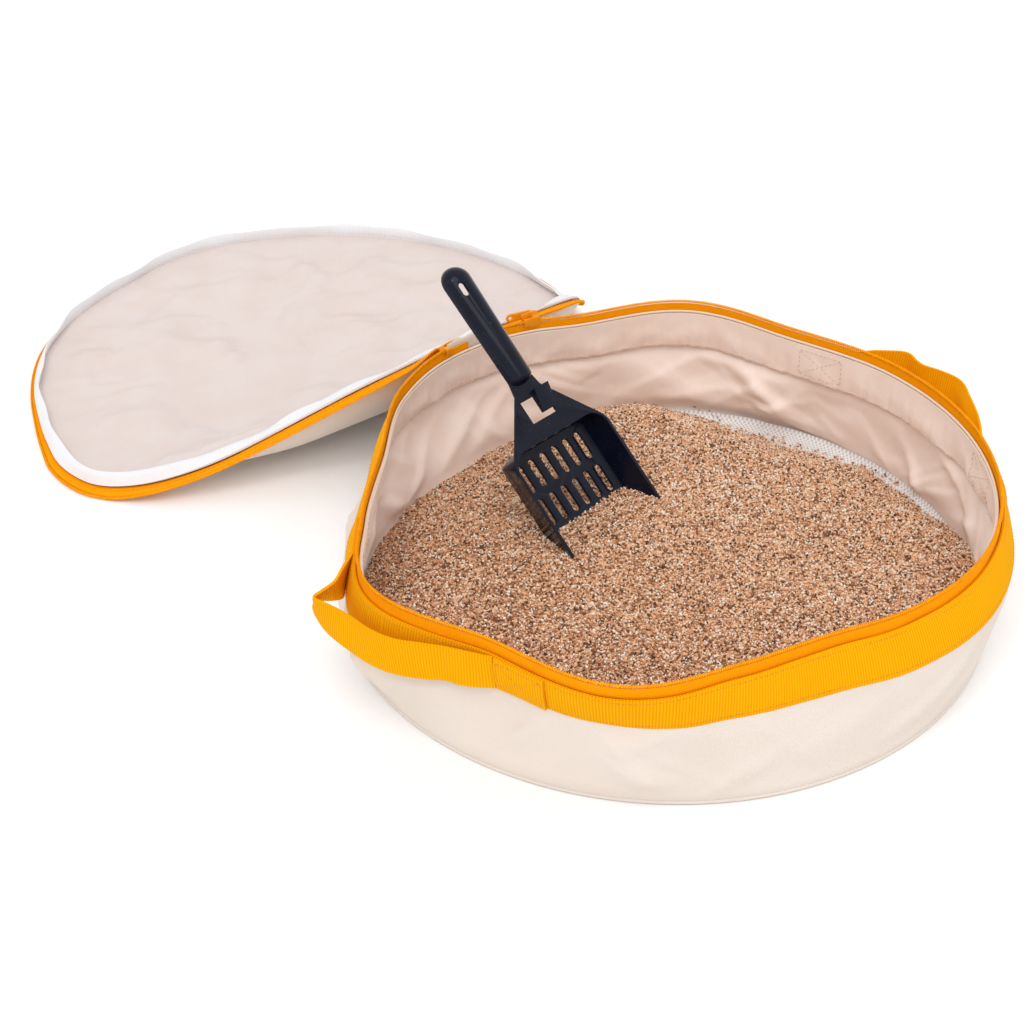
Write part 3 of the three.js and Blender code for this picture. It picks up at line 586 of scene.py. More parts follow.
# A smooth round trip through (degrees, millimetres) stops.
def roundTrip(stops, angle):
    stops = np.array(stops, float)
    places = np.concatenate([stops[:, 0] - 360, stops[:, 0], stops[:, 0] + 360])
    values = np.tile(stops[:, 1], 3)
    slopes = np.gradient(values, places)
    turn = np.mod(np.asarray(angle, float), 360)
    k = np.clip(np.searchsorted(places, turn) - 1, 0, len(places) - 2)
    span = places[k + 1] - places[k]
    t = (turn - places[k]) / span
    rise = values[k] * (1 + 2 * t) * (1 - t) ** 2 + slopes[k] * span * t * (1 - t) ** 2
    rise = rise + values[k + 1] * t * t * (3 - 2 * t) + slopes[k + 1] * span * t * t * (t - 1)
    return rise * mm


def rimOffset(angle):
    return roundTrip(rimShape["line"], angle)


# The wall tucks in below the webbing at the front left.
def wallTuck(angle, height):
    share = np.interp(height / mm, [12, 38, 57.5, 82.5], [0, 0.7, 1, 0])
    return -roundTrip(rimShape["tuck"], angle) * share


def wallSpread(height):
    rise = np.clip(np.asarray(height, float) / wallShape["tapeBottom"], 0, 1)
    return wallShape["baseSpread"] * (1 - rise) + wallShape["bulge"] * np.sin(math.pi * rise)


# How the wall's cloth stands in and out of its line, as slanting soft folds.
def wallFolds(angle, height, seed):
    dice = np.random.default_rng(seed)
    turn = np.radians(angle)
    total = 0
    for count in (3, 5, 7, 9, 12, 16, 21):
        slant = dice.uniform(-60, 60)
        phase, strength = dice.uniform(0, 2 * math.pi), dice.uniform(0.4, 1.0) / count ** 0.45
        total = total + strength * np.sin(count * turn + slant * height + phase)
    share = np.clip(height / wallShape["height"], 0, 1)
    return total * np.sin(math.pi * share ** 0.8)


# How far the rim's wave and the wall's tuck move a place out.
def rimShift(angle, height):
    return rimOffset(angle) * easeStep(height / wallShape["steady"]) + wallTuck(angle, height)


def followRim(places):
    angle = degreesOf(places)
    moved = reachOf(places) + rimShift(angle, places[:, 2])
    return roundPlaces(moved, np.radians(angle), places[:, 2])


def toRim(piece):
    setPlaces(piece, followRim(placesOf(piece)))


# Takes a ring to the rim's line and lays its folds over it.
def wavedToRim(piece, waves):
    places = placesOf(piece)
    angle = degreesOf(places)
    places = followRim(places)
    setPlaces(piece, radially(places, waves(angle, places[:, 2])))


def radially(places, change):
    angle = np.arctan2(places[:, 1], places[:, 0])
    return roundPlaces(reachOf(places) + change, angle, places[:, 2])


def canvasWaves(angle, height):
    low = easeStep((height - 4 * mm) / (20 * mm)) * (1 - easeStep((height - 46 * mm) / (14 * mm)))
    soft = wallFolds(angle, height, 5) * wallShape["folds"] * 0.7
    depth, count, bottom, top = wallShape["creases"]
    return (soft + depth * creaseField(angle, height, 61, count, bottom, top)) * low


# Slanting creases in a hanging cloth: each has one crisp side and one that fades out gently.
def creaseField(angle, height, seed, count, low, high):
    dice = np.random.default_rng(seed)
    whole = 2 * math.pi * rimShape["radius"]
    arc = np.radians(angle) * rimShape["radius"]
    total = np.zeros(np.shape(arc))
    for _ in range(count):
        centre, level = dice.uniform(0, whole), dice.uniform(low, high)
        lean = math.radians(dice.uniform(14, 52)) * dice.choice([-1, 1, 1])
        length, width = dice.uniform(20, 46) * mm, dice.uniform(3.5, 8) * mm
        strength = dice.uniform(0.5, 1.0)
        away = np.mod(arc - centre + whole / 2, whole) - whole / 2
        rise = height - level
        along = away * math.cos(lean) + rise * math.sin(lean)
        across = (rise * math.cos(lean) - away * math.sin(lean)) / width
        profile = np.where(across > 0, np.exp(-2.2 * across), np.exp(-(across * 0.55) ** 2))
        total = total + strength * profile * np.exp(-(along / length) ** 2)
    return total


def makeWall():
    rows = np.linspace(wallShape["foot"], wallShape["top"], wallShape["rows"])
    tucks = wallShape["topTuck"] * np.maximum(0, (rows - wallShape["tuckFrom"]) / wallShape["tuckSpan"])
    tucks[0] = wallShape["footTuck"]
    reach = wallShape["radius"] + wallSpread(rows) - tucks
    wall = ringBand("wall_canvas", list(zip(reach.tolist(), rows.tolist())), wallShape["sides"])
    ringUv(wall)
    wavedToRim(wall, canvasWaves)
    applied(wall, "SOLIDIFY", thickness=wallShape["thick"], offset=-1)
    smooth(wall)
    dress(wall, canvas, ["side_wall"])
    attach(wall, "tub")


# Rings are (radius, height) in millimetres, from the edge to the middle.
baseShape = {"rings": [(200.6, 0.4), (190, 0.2), (150, 0.6), (90, 0.9), (12, 0.5)], "thick": 0.9 * mm,
             "welt": (203.5 * mm, 1.9 * mm, 1.6 * mm, 10)}


def makeBase():
    base = ringBand("base_canvas", inMetres(baseShape["rings"]), 180, capped=True)
    flatUv(base)
    applied(base, "SOLIDIFY", thickness=baseShape["thick"], offset=-1)
    places = placesOf(base)
    places[:, 2] -= places[:, 2].min()
    setPlaces(base, places)
    facesOut(base)
    smooth(base)
    dress(base, canvas, ["base_panel"])
    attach(base, "tub")

    welt = ringBand("base_welt_cord", roundSection(*baseShape["welt"]), 360, closed=True)
    ringUv(welt)
    smooth(welt)
    dress(welt, canvas, ["base_welt"])
    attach(welt, "tub")


# The slack is (degrees, millimetres that the foot of the lining hangs in from the wall).
liningShape = {"inside": 198.9 * mm, "foot": 1.5 * mm, "soft": 2.4 * mm, "crease": 3.6 * mm,
               "slackRise": 50 * mm,
               "slack": [(0, 0), (62, 0), (82, 12), (95, 17), (122, 16), (138, 9), (152, 2), (166, 0),
                         (260, 0)],
               "bottom": 2.8 * mm, "top": 82.8 * mm, "rows": 40, "footRise": 9 * mm, "thick": 0.7 * mm,
               "floor": [(200.2, 2.1), (180, 1.9), (120, 2.1), (60, 1.9), (8, 2.0)], "floorThick": 0.5 * mm,
               "seam": [(183.6, 3.2), (188, 3.5), (193, 3.6), (197.2, 4.1), (199.3, 5.6), (200.2, 8.2)]}
facingShape = {"inside": 197.2 * mm, "pucker": 0.8 * mm, "crease": 1.1 * mm, "start": 197 * mm,
               "thick": 0.7 * mm, "rows": [55.4, 55.9, 57, 58.5, 62, 66, 70, 74, 78, 81, 83],
               "hem": 1.3 * mm, "hemTop": 56.6 * mm, "hemSpan": 1.2 * mm,
               "piping": (198.1 * mm, 84.2 * mm, 0.9 * mm, 8)}


def liningWaves(angle, height):
    low = easeStep((height - 3 * mm) / (16 * mm)) * (1 - easeStep((height - 46 * mm) / (11 * mm)))
    soft = np.abs(wallFolds(angle, height, 11)) * liningShape["soft"]
    sharp = creaseField(angle, height, 77, 60, 8 * mm, 50 * mm) * liningShape["crease"]
    fine = creaseField(angle, height, 19, 90, 4 * mm, 54 * mm) * liningShape["crease"] * 0.25
    slack = roundTrip(liningShape["slack"], angle) * (1 - easeStep(height / liningShape["slackRise"]))
    return -(soft + sharp + fine) * low - slack + np.minimum(canvasWaves(angle, height), 0)


# How far in the strip under the rim lies, with small puckers drawn in by its seam.
def facingReach(angle, height):
    turn = np.radians(angle)
    seam = easeStep((84 * mm - height) / (22 * mm))
    pucker = np.abs(np.sin(turn * 47 + 3 * np.sin(turn * 5)))
    pucker = pucker + 0.6 * np.abs(np.sin(turn * 83 + 2 * np.sin(turn * 7)))
    crease = creaseField(angle, height, 43, 110, 56 * mm, 74 * mm) * facingShape["crease"] * seam
    inside = facingShape["inside"] + wallSpread(height) * 0.6
    return inside - pucker * facingShape["pucker"] * seam ** 2 - crease


def makeLining():
    rows = np.linspace(liningShape["bottom"], liningShape["top"], liningShape["rows"])
    foot = liningShape["foot"] * np.maximum(0, 1 - rows / liningShape["footRise"]) ** 2
    reach = liningShape["inside"] + wallSpread(rows) - foot
    inner = ringBand("wall_lining", list(zip(reach.tolist(), rows.tolist())), 720)
    ringUv(inner)
    wavedToRim(inner, liningWaves)
    sewn(inner, liningShape["thick"], lining, ["lining_wall"])
    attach(inner, "tub")

    floor = ringBand("floor_lining", inMetres(liningShape["floor"]), 180, capped=True)
    flatUv(floor)
    sewn(floor, liningShape["floorThick"], lining, ["lining_floor"])
    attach(floor, "tub")

    seam = ringBand("floor_seam_zigzag", inMetres(liningShape["seam"]), 540)
    ringUv(seam, "radius")
    places = placesOf(seam)
    turn = np.radians(degreesOf(places))
    places[:, 2] += 0.3 * mm * np.sin(turn * 31) * np.sin(turn * 7 + 1)
    setPlaces(seam, places)
    sewn(seam, liningShape["floorThick"], zigzagCloth, ["floor_seam_tape"])
    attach(seam, "tub")


def makeFacing():
    rows = [(facingShape["start"], z * mm) for z in facingShape["rows"]]
    facing = ringBand("rim_facing_cloth", rows, 900)
    ringUv(facing)
    places = placesOf(facing)
    angle, height = degreesOf(places), places[:, 2]
    hem = facingShape["hem"] * np.clip((facingShape["hemTop"] - height) / facingShape["hemSpan"], 0, 1)
    reach = facingReach(angle, height) + hem + rimShift(angle, height)
    setPlaces(facing, roundPlaces(reach, np.radians(angle), height))
    sewn(facing, facingShape["thick"], lining, ["rim_facing"])
    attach(facing, "tub")

    piping = ringBand("rim_piping_cord", roundSection(*facingShape["piping"]), 540, closed=True)
    ringUv(piping)
    toRim(piping)
    smooth(piping)
    dress(piping, pipingCloth, ["rim_piping"])
    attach(piping, "tub")


# Profiles are (radius, height) in millimetres.
rimBand = {"profile": [(204.7, 57.5), (205.0, 58.3), (204.9, 64), (204.5, 70), (203.7, 76), (202.5, 80.8),
                       (201.9, 82.5)],
           "tape": [(200.2, 77), (200.1, 82), (199.8, 86), (200, 89.4)], "thick": 1.6 * mm,
           "tapeThick": 0.8 * mm}


def makeRim():
    band = ringBand("rim_webbing_band", inMetres(rimBand["profile"]), 900)
    ringUv(band)
    places = followRim(placesOf(band))
    turn = np.radians(degreesOf(places))
    places[:, 2] += 0.35 * mm * np.sin(turn * 23) * np.sin(turn * 5)
    setPlaces(band, places)
    sewn(band, rimBand["thick"], webbing, ["rim_webbing"], 40)
    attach(band, "tub")

    tape = ringBand("lower_zip_tape_cloth", inMetres(rimBand["tape"]), 720)
    keepArc(tape, *rimShape["tapeGap"], inside=False)
    ringUv(tape)
    toRim(tape)
    sewn(tape, rimBand["tapeThick"], zipTape, ["lower_zip_tape"], 40)
    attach(tape, "tub")


# The coils end short of the hinge's gap by the stops' lengths.
coilShape = {"pitch": 1.4 * mm, "ring": 1 * mm, "wire": 0.36 * mm, "slant": 9, "core": 0.62 * mm,
             "height": 91 * mm, "squash": (1.0, 0.80, 1.06, 1.0), "ends": (3.9 * mm, 6.3 * mm)}


# Turns a small template from the Z axis to the X axis.
def laidAlong(template):
    with editing(template):
        bpy.ops.transform.rotate(value=math.radians(90), orient_axis="Y", center_override=(0, 0, 0))
    return template


# One turn of the coil: a ring of wire, standing across the zip.
def coilTooth():
    clearSelection()
    bpy.ops.mesh.primitive_torus_add(
        major_segments=10, minor_segments=4, major_radius=coilShape["ring"], minor_radius=coilShape["wire"])
    tooth = bpy.context.object
    tooth.name = "tooth"
    return laidAlong(tooth)


# Where the coils start and end round the rim, in degrees.
def coilArc():
    first, last = (math.degrees(short / rimShape["radius"]) for short in coilShape["ends"])
    centre, half = rimShape["gapCentre"], rimShape["gapHalf"]
    return centre + half + first, 360 + centre - half - last


# The angles of a coil's turns, one after another.
def coilAngles():
    start, end = coilArc()
    count = int(math.radians(end - start) * rimShape["radius"] / coilShape["pitch"])
    return start + (np.arange(count) + 0.5) * (end - start) / count


def rimPoint(angle, height, waved):
    radius = rimShape["radius"] + (rimOffset(angle) if waved else 0)
    return roundPlaces(radius, np.radians(angle), height)


# Frames along the rim, one per angle: X along it, Y across and Z up.
def rimFrames(angle, height, waved=True):
    along = rimPoint(angle + 0.2, height, waved) - rimPoint(angle - 0.2, height, waved)
    along /= np.linalg.norm(along, axis=1)[:, None]
    up = np.tile([0.0, 0.0, 1.0], (len(along), 1))
    return framesOf(along, np.cross(along, up), up, rimPoint(angle, height, waved))


# One 4 x 4 matrix for each row of three directions and a place.
def framesOf(along, across, up, place):
    matrices = np.tile(np.eye(4), (len(along), 1, 1))
    for column, values in enumerate((along, across, up, place)):
        matrices[:, :3, column] = values
    return matrices


# The cord that a coil is wound on.
def makeCore(name, height):
    section = roundSection(rimShape["radius"], height, coilShape["core"], 6)
    core = ringBand(name, section, 720, closed=True)
    keepArc(core, *coilArc())
    smooth(core, 80)
    return dress(core, coil)


# A coil's turns in the frames that are handed in.
def makeTeeth(name, frames):
    tooth = coilTooth()
    tilt = np.eye(4)
    tilt[0, 2] = math.tan(math.radians(coilShape["slant"]))
    teeth = manyOf(name, tooth, frames @ tilt @ np.diag(coilShape["squash"]))
    discard(tooth)
    return teeth


def makeLowerCoil():
    core = makeCore("lower_coil_core", coilShape["height"])
    toRim(core)
    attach(core, "tub")
    teeth = makeTeeth("lower_coil_teeth", rimFrames(coilAngles(), coilShape["height"]))
    smooth(teeth, 80)
    dress(teeth, coil, ["lower_zip_coil"])
    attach(teeth, "tub")


makeWall()
makeBase()
makeLining()
makeFacing()
makeRim()
makeLowerCoil()
print("tub ready")


# The lid, shaped flat and then laid over its fold
# Flat places are (x, y) of the closed lid and the height that a piece stands inside it. Each list holds
# (degrees, value): line, lobe and fold in millimetres, droop and lean in degrees, tuck as a share.
lidShape = {"hingeY": 204 * mm, "hingeZ": 93.5 * mm, "drop": 2.25 * mm, "foldReach": 130 * mm,
            "tilt": 43.8164, "foldLevel": 1.9 * mm, "bend": 42 * mm, "skew": math.radians(2.8),
            "seamRadius": 190.5 * mm, "belly": 17.5 * mm, "leanFrom": 191.9 * mm, "clear": 1.5 * mm,
            "line": [(0, 0), (12, 7), (24, 11), (36, 13), (48, 12), (60, 5), (70, -1), (80, 0), (98, 0),
                     (112, -4), (134, -17), (152, -5), (164, 12), (174, 24), (182, 25), (190, 19),
                     (200, 13), (208, 10.5), (216, 8.5), (225, 6), (234, 1.5), (242, -2.5), (250, -6),
                     (258, -8.5), (268, -7), (279, -6), (290, -7.5), (300, -9.5), (310, -10), (320, -9.5),
                     (330, -8), (340, -6), (351, -3)],
            "lobe": [(0, 0), (150, 0), (164, 1.5), (176, 1), (190, 0), (276, 0), (290, 3), (302, 6),
                     (328, 5), (343, 3), (354, 0)],
            "droop": [(0, 5), (12, 20), (24, 38), (50, 38), (66, 25), (80, 18), (86, 5), (92, -20),
                      (97, -10), (103, 20), (110, 30), (130, 36), (152, 30), (168, 22), (180, 30),
                      (205, 35), (225, 28), (245, 8), (290, 4), (330, 4)],
            "tuck": [(0, 0.2), (15, 0.4), (50, 0.4), (62, 0), (172, 0), (184, 0.2), (200, 0.4), (225, 0.4),
                     (245, 0.1), (270, 0), (340, 0)],
            "lean": [(0, 14), (8, 25), (16, 35), (26, 42), (38, 50), (50, 66), (62, 74), (84, 74),
                     (105, 68), (140, 50), (160, 26), (176, 18), (188, 24), (198, 28), (210, 26), (225, 22),
                     (240, 14), (256, 10), (270, 6), (290, 4), (345, 5)],
            "fold": [(0, 0), (108, 0), (122, 5), (140, 10), (156, 9), (168, 3), (178, 0), (260, 0)]}


# The open lid's side view: (y, z) and the slope at distances s from the hinge.
def lidLine(s):
    tilt = math.radians(lidShape["tilt"])
    bend, reach = lidShape["bend"], lidShape["foldReach"]
    normal = np.array([math.sin(tilt), math.cos(tilt)])
    start = np.array([lidShape["hingeY"], lidShape["hingeZ"]]) - lidShape["drop"] * normal
    near = np.array([math.cos(tilt), -math.sin(tilt)])
    reach = reach - lidShape["foldLevel"] * math.tan(tilt / 2)
    corner = start + near * reach
    share = np.clip((s - (reach - bend)) / (2 * bend), 0, 1)
    angle = tilt * (1 - share)
    radius = bend / math.tan(tilt / 2)
    centre = corner - near * bend + normal * radius
    line = start[None, :] + near[None, :] * s[:, None]
    arc = centre[None, :] - radius * np.stack([np.sin(angle), np.cos(angle)], 1)
    far = corner[None, :] + np.stack([s - reach, np.zeros_like(s)], 1)
    place = np.where((s < reach - bend)[:, None], line, np.where((s > reach + bend)[:, None], far, arc))
    return place, angle


def lidWave(places):
    angle = degreesOf(places)
    radius = reachOf(places)
    share = np.clip(radius / lidShape["seamRadius"], 0, 1.06) ** 2.5
    edge = np.clip((radius - 192 * mm) / (8 * mm), 0, 1.2)
    change = roundTrip(lidShape["line"], angle) * share + roundTrip(lidShape["lobe"], angle) * edge
    return radially(places, change)


# From distances along and across the slanting hinge line to places in the part's frame.
def fromHinge(aside, ahead, up):
    slant = lidShape["skew"]
    x = aside * math.cos(slant) - ahead * math.sin(slant)
    y = lidShape["hingeY"] + aside * math.sin(slant) + ahead * math.cos(slant)
    return np.stack(np.broadcast_arrays(x, y, up), -1)


# Turns flat places into the laid lid.
def layLid(places):
    flat = lidWave(places)
    slant = lidShape["skew"]
    x, back = flat[:, 0], flat[:, 1] - lidShape["hingeY"]
    line, angle = lidLine(x * math.sin(slant) - back * math.cos(slant))
    ahead = line[:, 0] + np.sin(angle) * flat[:, 2] - lidShape["hingeY"]
    return fromHinge(x * math.cos(slant) + back * math.sin(slant), ahead,
                     line[:, 1] + np.cos(angle) * flat[:, 2])


# Lets the zip tape hang from the lid's seam by its own weight.
def droopTape(places):
    angle = degreesOf(places)
    drop = np.radians(roundTrip(lidShape["droop"], angle) / mm)
    full = np.maximum(reachOf(places) - lidShape["seamRadius"], 0)
    width = full * (1 - np.clip(roundTrip(lidShape["tuck"], angle) / mm, 0, 0.6))
    height = places[:, 2]
    moved = radially(places, width * np.cos(drop) - full + height * np.sin(drop) * (full > 0))
    moved[:, 2] = height * np.cos(drop) - width * np.sin(drop)
    return moved


# The hanging tape, laid down and kept off the floor.
def laidTape(places):
    laid = layLid(droopTape(places))
    level = layLid(droopTape(places * [1, 1, 0]))[:, 2]
    laid[:, 2] += np.maximum(0, lidShape["clear"] - level)
    return laid


# Leans the standing binding in over the lining.
def leanBinding(places):
    angle = degreesOf(places)
    lean = np.radians(roundTrip(lidShape["lean"], angle) / mm)
    out, height = reachOf(places) - lidShape["leanFrom"], places[:, 2]
    moved = radially(places, out * np.cos(lean) - height * np.sin(lean) - out)
    moved[:, 2] = height * np.cos(lean) + out * np.sin(lean) + 1.1 * mm * np.sin(lean)
    return moved


def bendLid(piece):
    reach = lidShape["foldReach"]
    ends, _ = lidLine(np.array([reach - lidShape["bend"], reach + lidShape["bend"]]))
    start, end = [fromHinge(0, float(y) - lidShape["hingeY"], float(z)).tolist() for y, z in ends]
    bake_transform(piece)


def clothRipple(places, seed):
    dice = np.random.default_rng(seed)
    total = 0
    for _ in range(9):
        turn = dice.uniform(0, math.pi)
        wave = 2 * math.pi / dice.uniform(0.07, 0.22)
        phase = dice.uniform(0, 2 * math.pi)
        along = places[:, 0] * math.cos(turn) + places[:, 1] * math.sin(turn)
        total = total + np.sin(along * wave + phase)
    return total / 9


lidCloth = {"rows": 47, "middle": 6 * mm, "sides": 300, "underSeam": 1.3 * mm, "thick": 1.0 * mm,
            "floorGap": 1.1 * mm, "liningOut": 1.5 * mm, "liningRise": 1.1 * mm, "liningThick": 0.7 * mm,
            "liningFloorGap": 2.6 * mm, "ripple": 12 * mm, "pucker": 9 * mm, "puckerReach": 26 * mm,
            "bellyShare": 0.55}


# How much of the belly shows at a distance from the hinge: it swells, and fades out before the fold.
def bellyShare(s, swell, fadeFrom, fade):
    return easeStep(s / (swell * mm)) * (1 - easeStep((s - fadeFrom * mm) / (fade * mm)))


def lidDisc(name, out=0.0):
    rows = np.linspace(lidShape["seamRadius"], lidCloth["middle"], lidCloth["rows"]) + out
    disc = ringBand(name, [(float(r), 0.0) for r in rows], lidCloth["sides"], capped=True)
    return flatUv(disc)


def makeLidCanvas():
    seam = lidShape["seamRadius"]
    outer = lidDisc("lid_canvas")
    places = placesOf(outer)
    edge = 1 - np.clip(reachOf(places) / seam, 0, 1) ** 9
    hang = bellyShare(lidShape["hingeY"] - places[:, 1], 36, 62, 74) * edge
    belly = lidShape["belly"] * hang * (1 + 0.25 * clothRipple(places, 8))
    places[:, 2] = -lidCloth["underSeam"] - belly
    laid = layLid(places)
    laid[:, 2] = np.maximum(laid[:, 2], lidCloth["floorGap"])
    setPlaces(outer, laid)
    sewn(outer, lidCloth["thick"], canvas, ["lid_panel_rear", "lid_panel_front"])
    bendLid(outer)
    return outer


def makeLidLining(outer):
    seam = lidShape["seamRadius"]
    inner = lidDisc("lid_lining_cloth", lidCloth["liningOut"])
    places = placesOf(inner)
    radius, angle = reachOf(places), degreesOf(places)
    edge, inset = 1 - np.clip(radius / seam, 0, 1) ** 7, seam - radius
    ripple = clothRipple(places, 31) + 0.6 * clothRipple(places * 2.1, 12)
    ripple = ripple + 0.5 * np.abs(clothRipple(places * 3.4, 57))
    gathers = np.abs(clothRipple(np.stack([np.radians(angle), 0 * angle], 1) * 1.7, 5))
    pucker = gathers * np.exp(-inset / lidCloth["puckerReach"]) * edge
    fold = roundTrip(lidShape["fold"], angle) * np.interp(inset / mm, [0, 4, 17, 24, 62], [0, 0, 1, 0.8, 0])
    rise = lidCloth["ripple"] * np.maximum(ripple, 0) * edge + lidCloth["pucker"] * pucker + fold
    share = bellyShare(lidShape["hingeY"] - places[:, 1], 50, 56, 70)
    sag = lidCloth["bellyShare"] * lidShape["belly"] * share
    places[:, 2] = lidCloth["liningRise"] + rise - sag * edge
    laid = layLid(places)
    laid[:, 2] = np.maximum(laid[:, 2], lidCloth["liningFloorGap"])
    setPlaces(inner, laid)
    sewn(inner, lidCloth["liningThick"], lidLiningDarkerCopy, ["lid_lining_rear", "lid_lining_front"])
    bendLid(inner)


# Sections are (radius, height inside the lid) in millimetres.
lidEdge = {"binding": [(190.9, 0.6), (190.6, 3.0), (190.7, 6.0), (191.3, 9.2), (192.0, 10.0), (192.8, 9.4),
                       (193.0, 6.0), (192.7, 2.5), (192.9, 0.6)],
           "tape": [(186.2, -1.6), (190.6, -0.6), (193.6, 0.0), (198.6, 0.0)], "sway": 1.1 * mm,
           "tall": 9 * mm}


def makeLidRing():
    binding = ringBand("lid_binding_tape", inMetres(lidEdge["binding"]), 480, closed=True)
    ringUv(binding)
    places = placesOf(binding)
    turn = np.radians(degreesOf(places))
    sway = lidEdge["sway"] * (np.sin(turn * 9 + 1.0) + 0.7 * np.sin(turn * 23))
    sway = sway * places[:, 2] / lidEdge["tall"]
    setPlaces(binding, layLid(leanBinding(radially(places, sway))))
    facesOut(binding)
    smooth(binding, 60)
    dress(binding, whiteTape, ["lid_binding_rear", "lid_binding_front"])
    bendLid(binding)

    tape = ringBand("upper_zip_tape_cloth", inMetres(lidEdge["tape"]), 600)
    keepArc(tape, *rimShape["tapeGap"], inside=False)
    ringUv(tape, "radius")
    setPlaces(tape, laidTape(placesOf(tape)))
    parts = ["upper_zip_tape_left", "upper_zip_tape_right", "upper_zip_tape_front"]
    sewn(tape, rimBand["tapeThick"], zipTape, parts, angle=40)
    bendLid(tape)


def makeUpperCoil():
    core = makeCore("upper_coil_core", 0.0)
    setPlaces(core, laidTape(placesOf(core)))
    bendLid(core)
    upright = np.eye(4)[[0, 2, 1, 3]]
    teeth = makeTeeth("upper_coil_teeth", rimFrames(coilAngles(), 0.0, waved=False) @ upright)
    setPlaces(teeth, laidTape(placesOf(teeth)))
    facesOut(teeth)
    smooth(teeth, 80)
    parts = ["upper_zip_coil_left", "upper_zip_coil_right", "upper_zip_coil_front"]
    dress(teeth, coil, parts)
    bendLid(teeth)


makeLidLining(makeLidCanvas())
makeLidRing()
makeUpperCoil()
print("lid ready")


# The cloth at the hinge: its line starts with (y, height) in millimetres behind the tape.
hingeShape = {"half": 18.2 * mm, "steps": 14, "rows": 24, "under": 1.3 * mm, "lidPart": (2 * mm, 17 * mm),
              "line": [(202.9, 77.0), (202.9, 86.0), (202.9, 90.2), (203.2, 92.4), (204.0, 93.2)],
              "turnFrom": 199.5 * mm, "turnSpan": 4 * mm, "pucker": 0.5 * mm, "thick": 0.9 * mm}


# Distances along a line of points.
def reachAlong(points):
    return np.concatenate([[0], np.cumsum(np.linalg.norm(np.diff(points, axis=0), axis=1))])


# A canvas strip from behind the zip tape, over the lid's hinge line and down to the lid's seam.
def makeHingeCloth():
    ends, turns = lidLine(np.array(hingeShape["lidPart"]))
    ends = ends - hingeShape["under"] * np.stack([np.sin(turns), np.cos(turns)], 1)
    knots = np.concatenate([inMetres(hingeShape["line"]), ends])
    reach = reachAlong(knots)
    whole = reach[-1]
    clearSelection()
    bpy.ops.mesh.primitive_grid_add(
        x_subdivisions=hingeShape["steps"], y_subdivisions=hingeShape["rows"], size=2, calc_uvs=False)
    strip = bpy.context.object
    strip.name = "hinge_cloth"
    places = placesOf(strip)
    flatUv(strip, (hingeShape["half"], whole / 2))
    along = (places[:, 1] + 1) / 2 * whole
    y, z = (np.interp(along, reach, knots[:, k]) for k in (0, 1))
    side = places[:, 0] * hingeShape["half"]
    bow = side ** 2 / (2 * rimShape["radius"]) * (1 - along / whole * 0.7)
    pucker = hingeShape["pucker"] * np.sin(side * 420) * np.sin(math.pi * along / whole)
    slant = lidShape["skew"] * easeStep((y - hingeShape["turnFrom"]) / hingeShape["turnSpan"])
    ahead = y - bow - lidShape["hingeY"]
    x = side * np.cos(slant) - ahead * np.sin(slant)
    back = lidShape["hingeY"] + side * np.sin(slant) + ahead * np.cos(slant)
    setPlaces(strip, np.stack([x, back, z + pucker], 1))
    applied(strip, "SUBSURF", levels=1, render_levels=1)
    sewn(strip, hingeShape["thick"], canvas, ["hinge_gusset", "lid_hinge_flap"])
    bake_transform(strip)


makeHingeCloth()


# Handles
# Each loop's upper and lower edge, from one sewn end to the other: (millimetres along the wall, out from the
# middle, height).
handleShape = {
    "left": {"angle": 181.5, "crease": 0.0, "creaseSpan": (5, 9), "edges": [
        [(50, 200.5, 82.2), (39, 207, 81.5), (28.5, 214.5, 81), (13, 223, 79.5), (-4.8, 227.2, 78.5),
         (-21, 228.5, 78), (-35, 231.7, 79), (-43.5, 235, 80), (-46.5, 234.5, 80.3), (-48, 229, 80.2),
         (-51, 217, 80.6), (-57.5, 206.5, 82)],
        [(51, 200.8, 57.5), (39.5, 206, 57.2), (31, 212.5, 56), (16, 221.8, 54.5), (0, 227.5, 54),
         (-19, 230, 54.5), (-39, 231.2, 56), (-54, 229, 58.5), (-61, 226, 61), (-63, 220, 60.5),
         (-60, 212, 59), (-59.5, 206, 58)]]},
    "right": {"angle": -7.5, "crease": 3.2, "creaseSpan": (8, 13), "edges": [
        [(60, 204.5, 83), (54, 212, 84), (46.5, 220.3, 85), (41, 223.5, 84.8), (35.5, 223.8, 83.4),
         (29, 225, 82.2), (18, 229.3, 82.5), (5, 232.7, 83), (-5, 232, 83), (-17, 226.7, 83),
         (-33, 218.8, 82.5), (-47.7, 210, 82.5), (-56, 204.3, 82.5)],
        [(60.5, 203, 58), (55.5, 210, 59), (48.5, 217.5, 60), (42.5, 221.5, 60), (37, 222.5, 58.8),
         (30, 224, 57.5), (18, 227, 57.6), (5, 228.5, 58), (-6, 226.5, 58.5), (-19, 220.5, 58.5),
         (-35, 212.5, 58), (-48.5, 204.8, 57.6), (-57, 201.2, 57.5)]]},
    "half": 18.5, "box": 10.313, "low": 57.5 * mm, "high": 82.5 * mm, "endRadius": (203.7 * mm, 206.9 * mm),
    "overlap": 0.25, "thick": 1.6 * mm, "rows": 8, "knotSteps": 10, "bend": (0.2, 0.222),
    "patch": [(206.9, 57.5), (207, 60), (206.9, 66), (206.3, 72), (205.2, 77), (204.2, 80.5),
              (203.7, 82.5)],
}


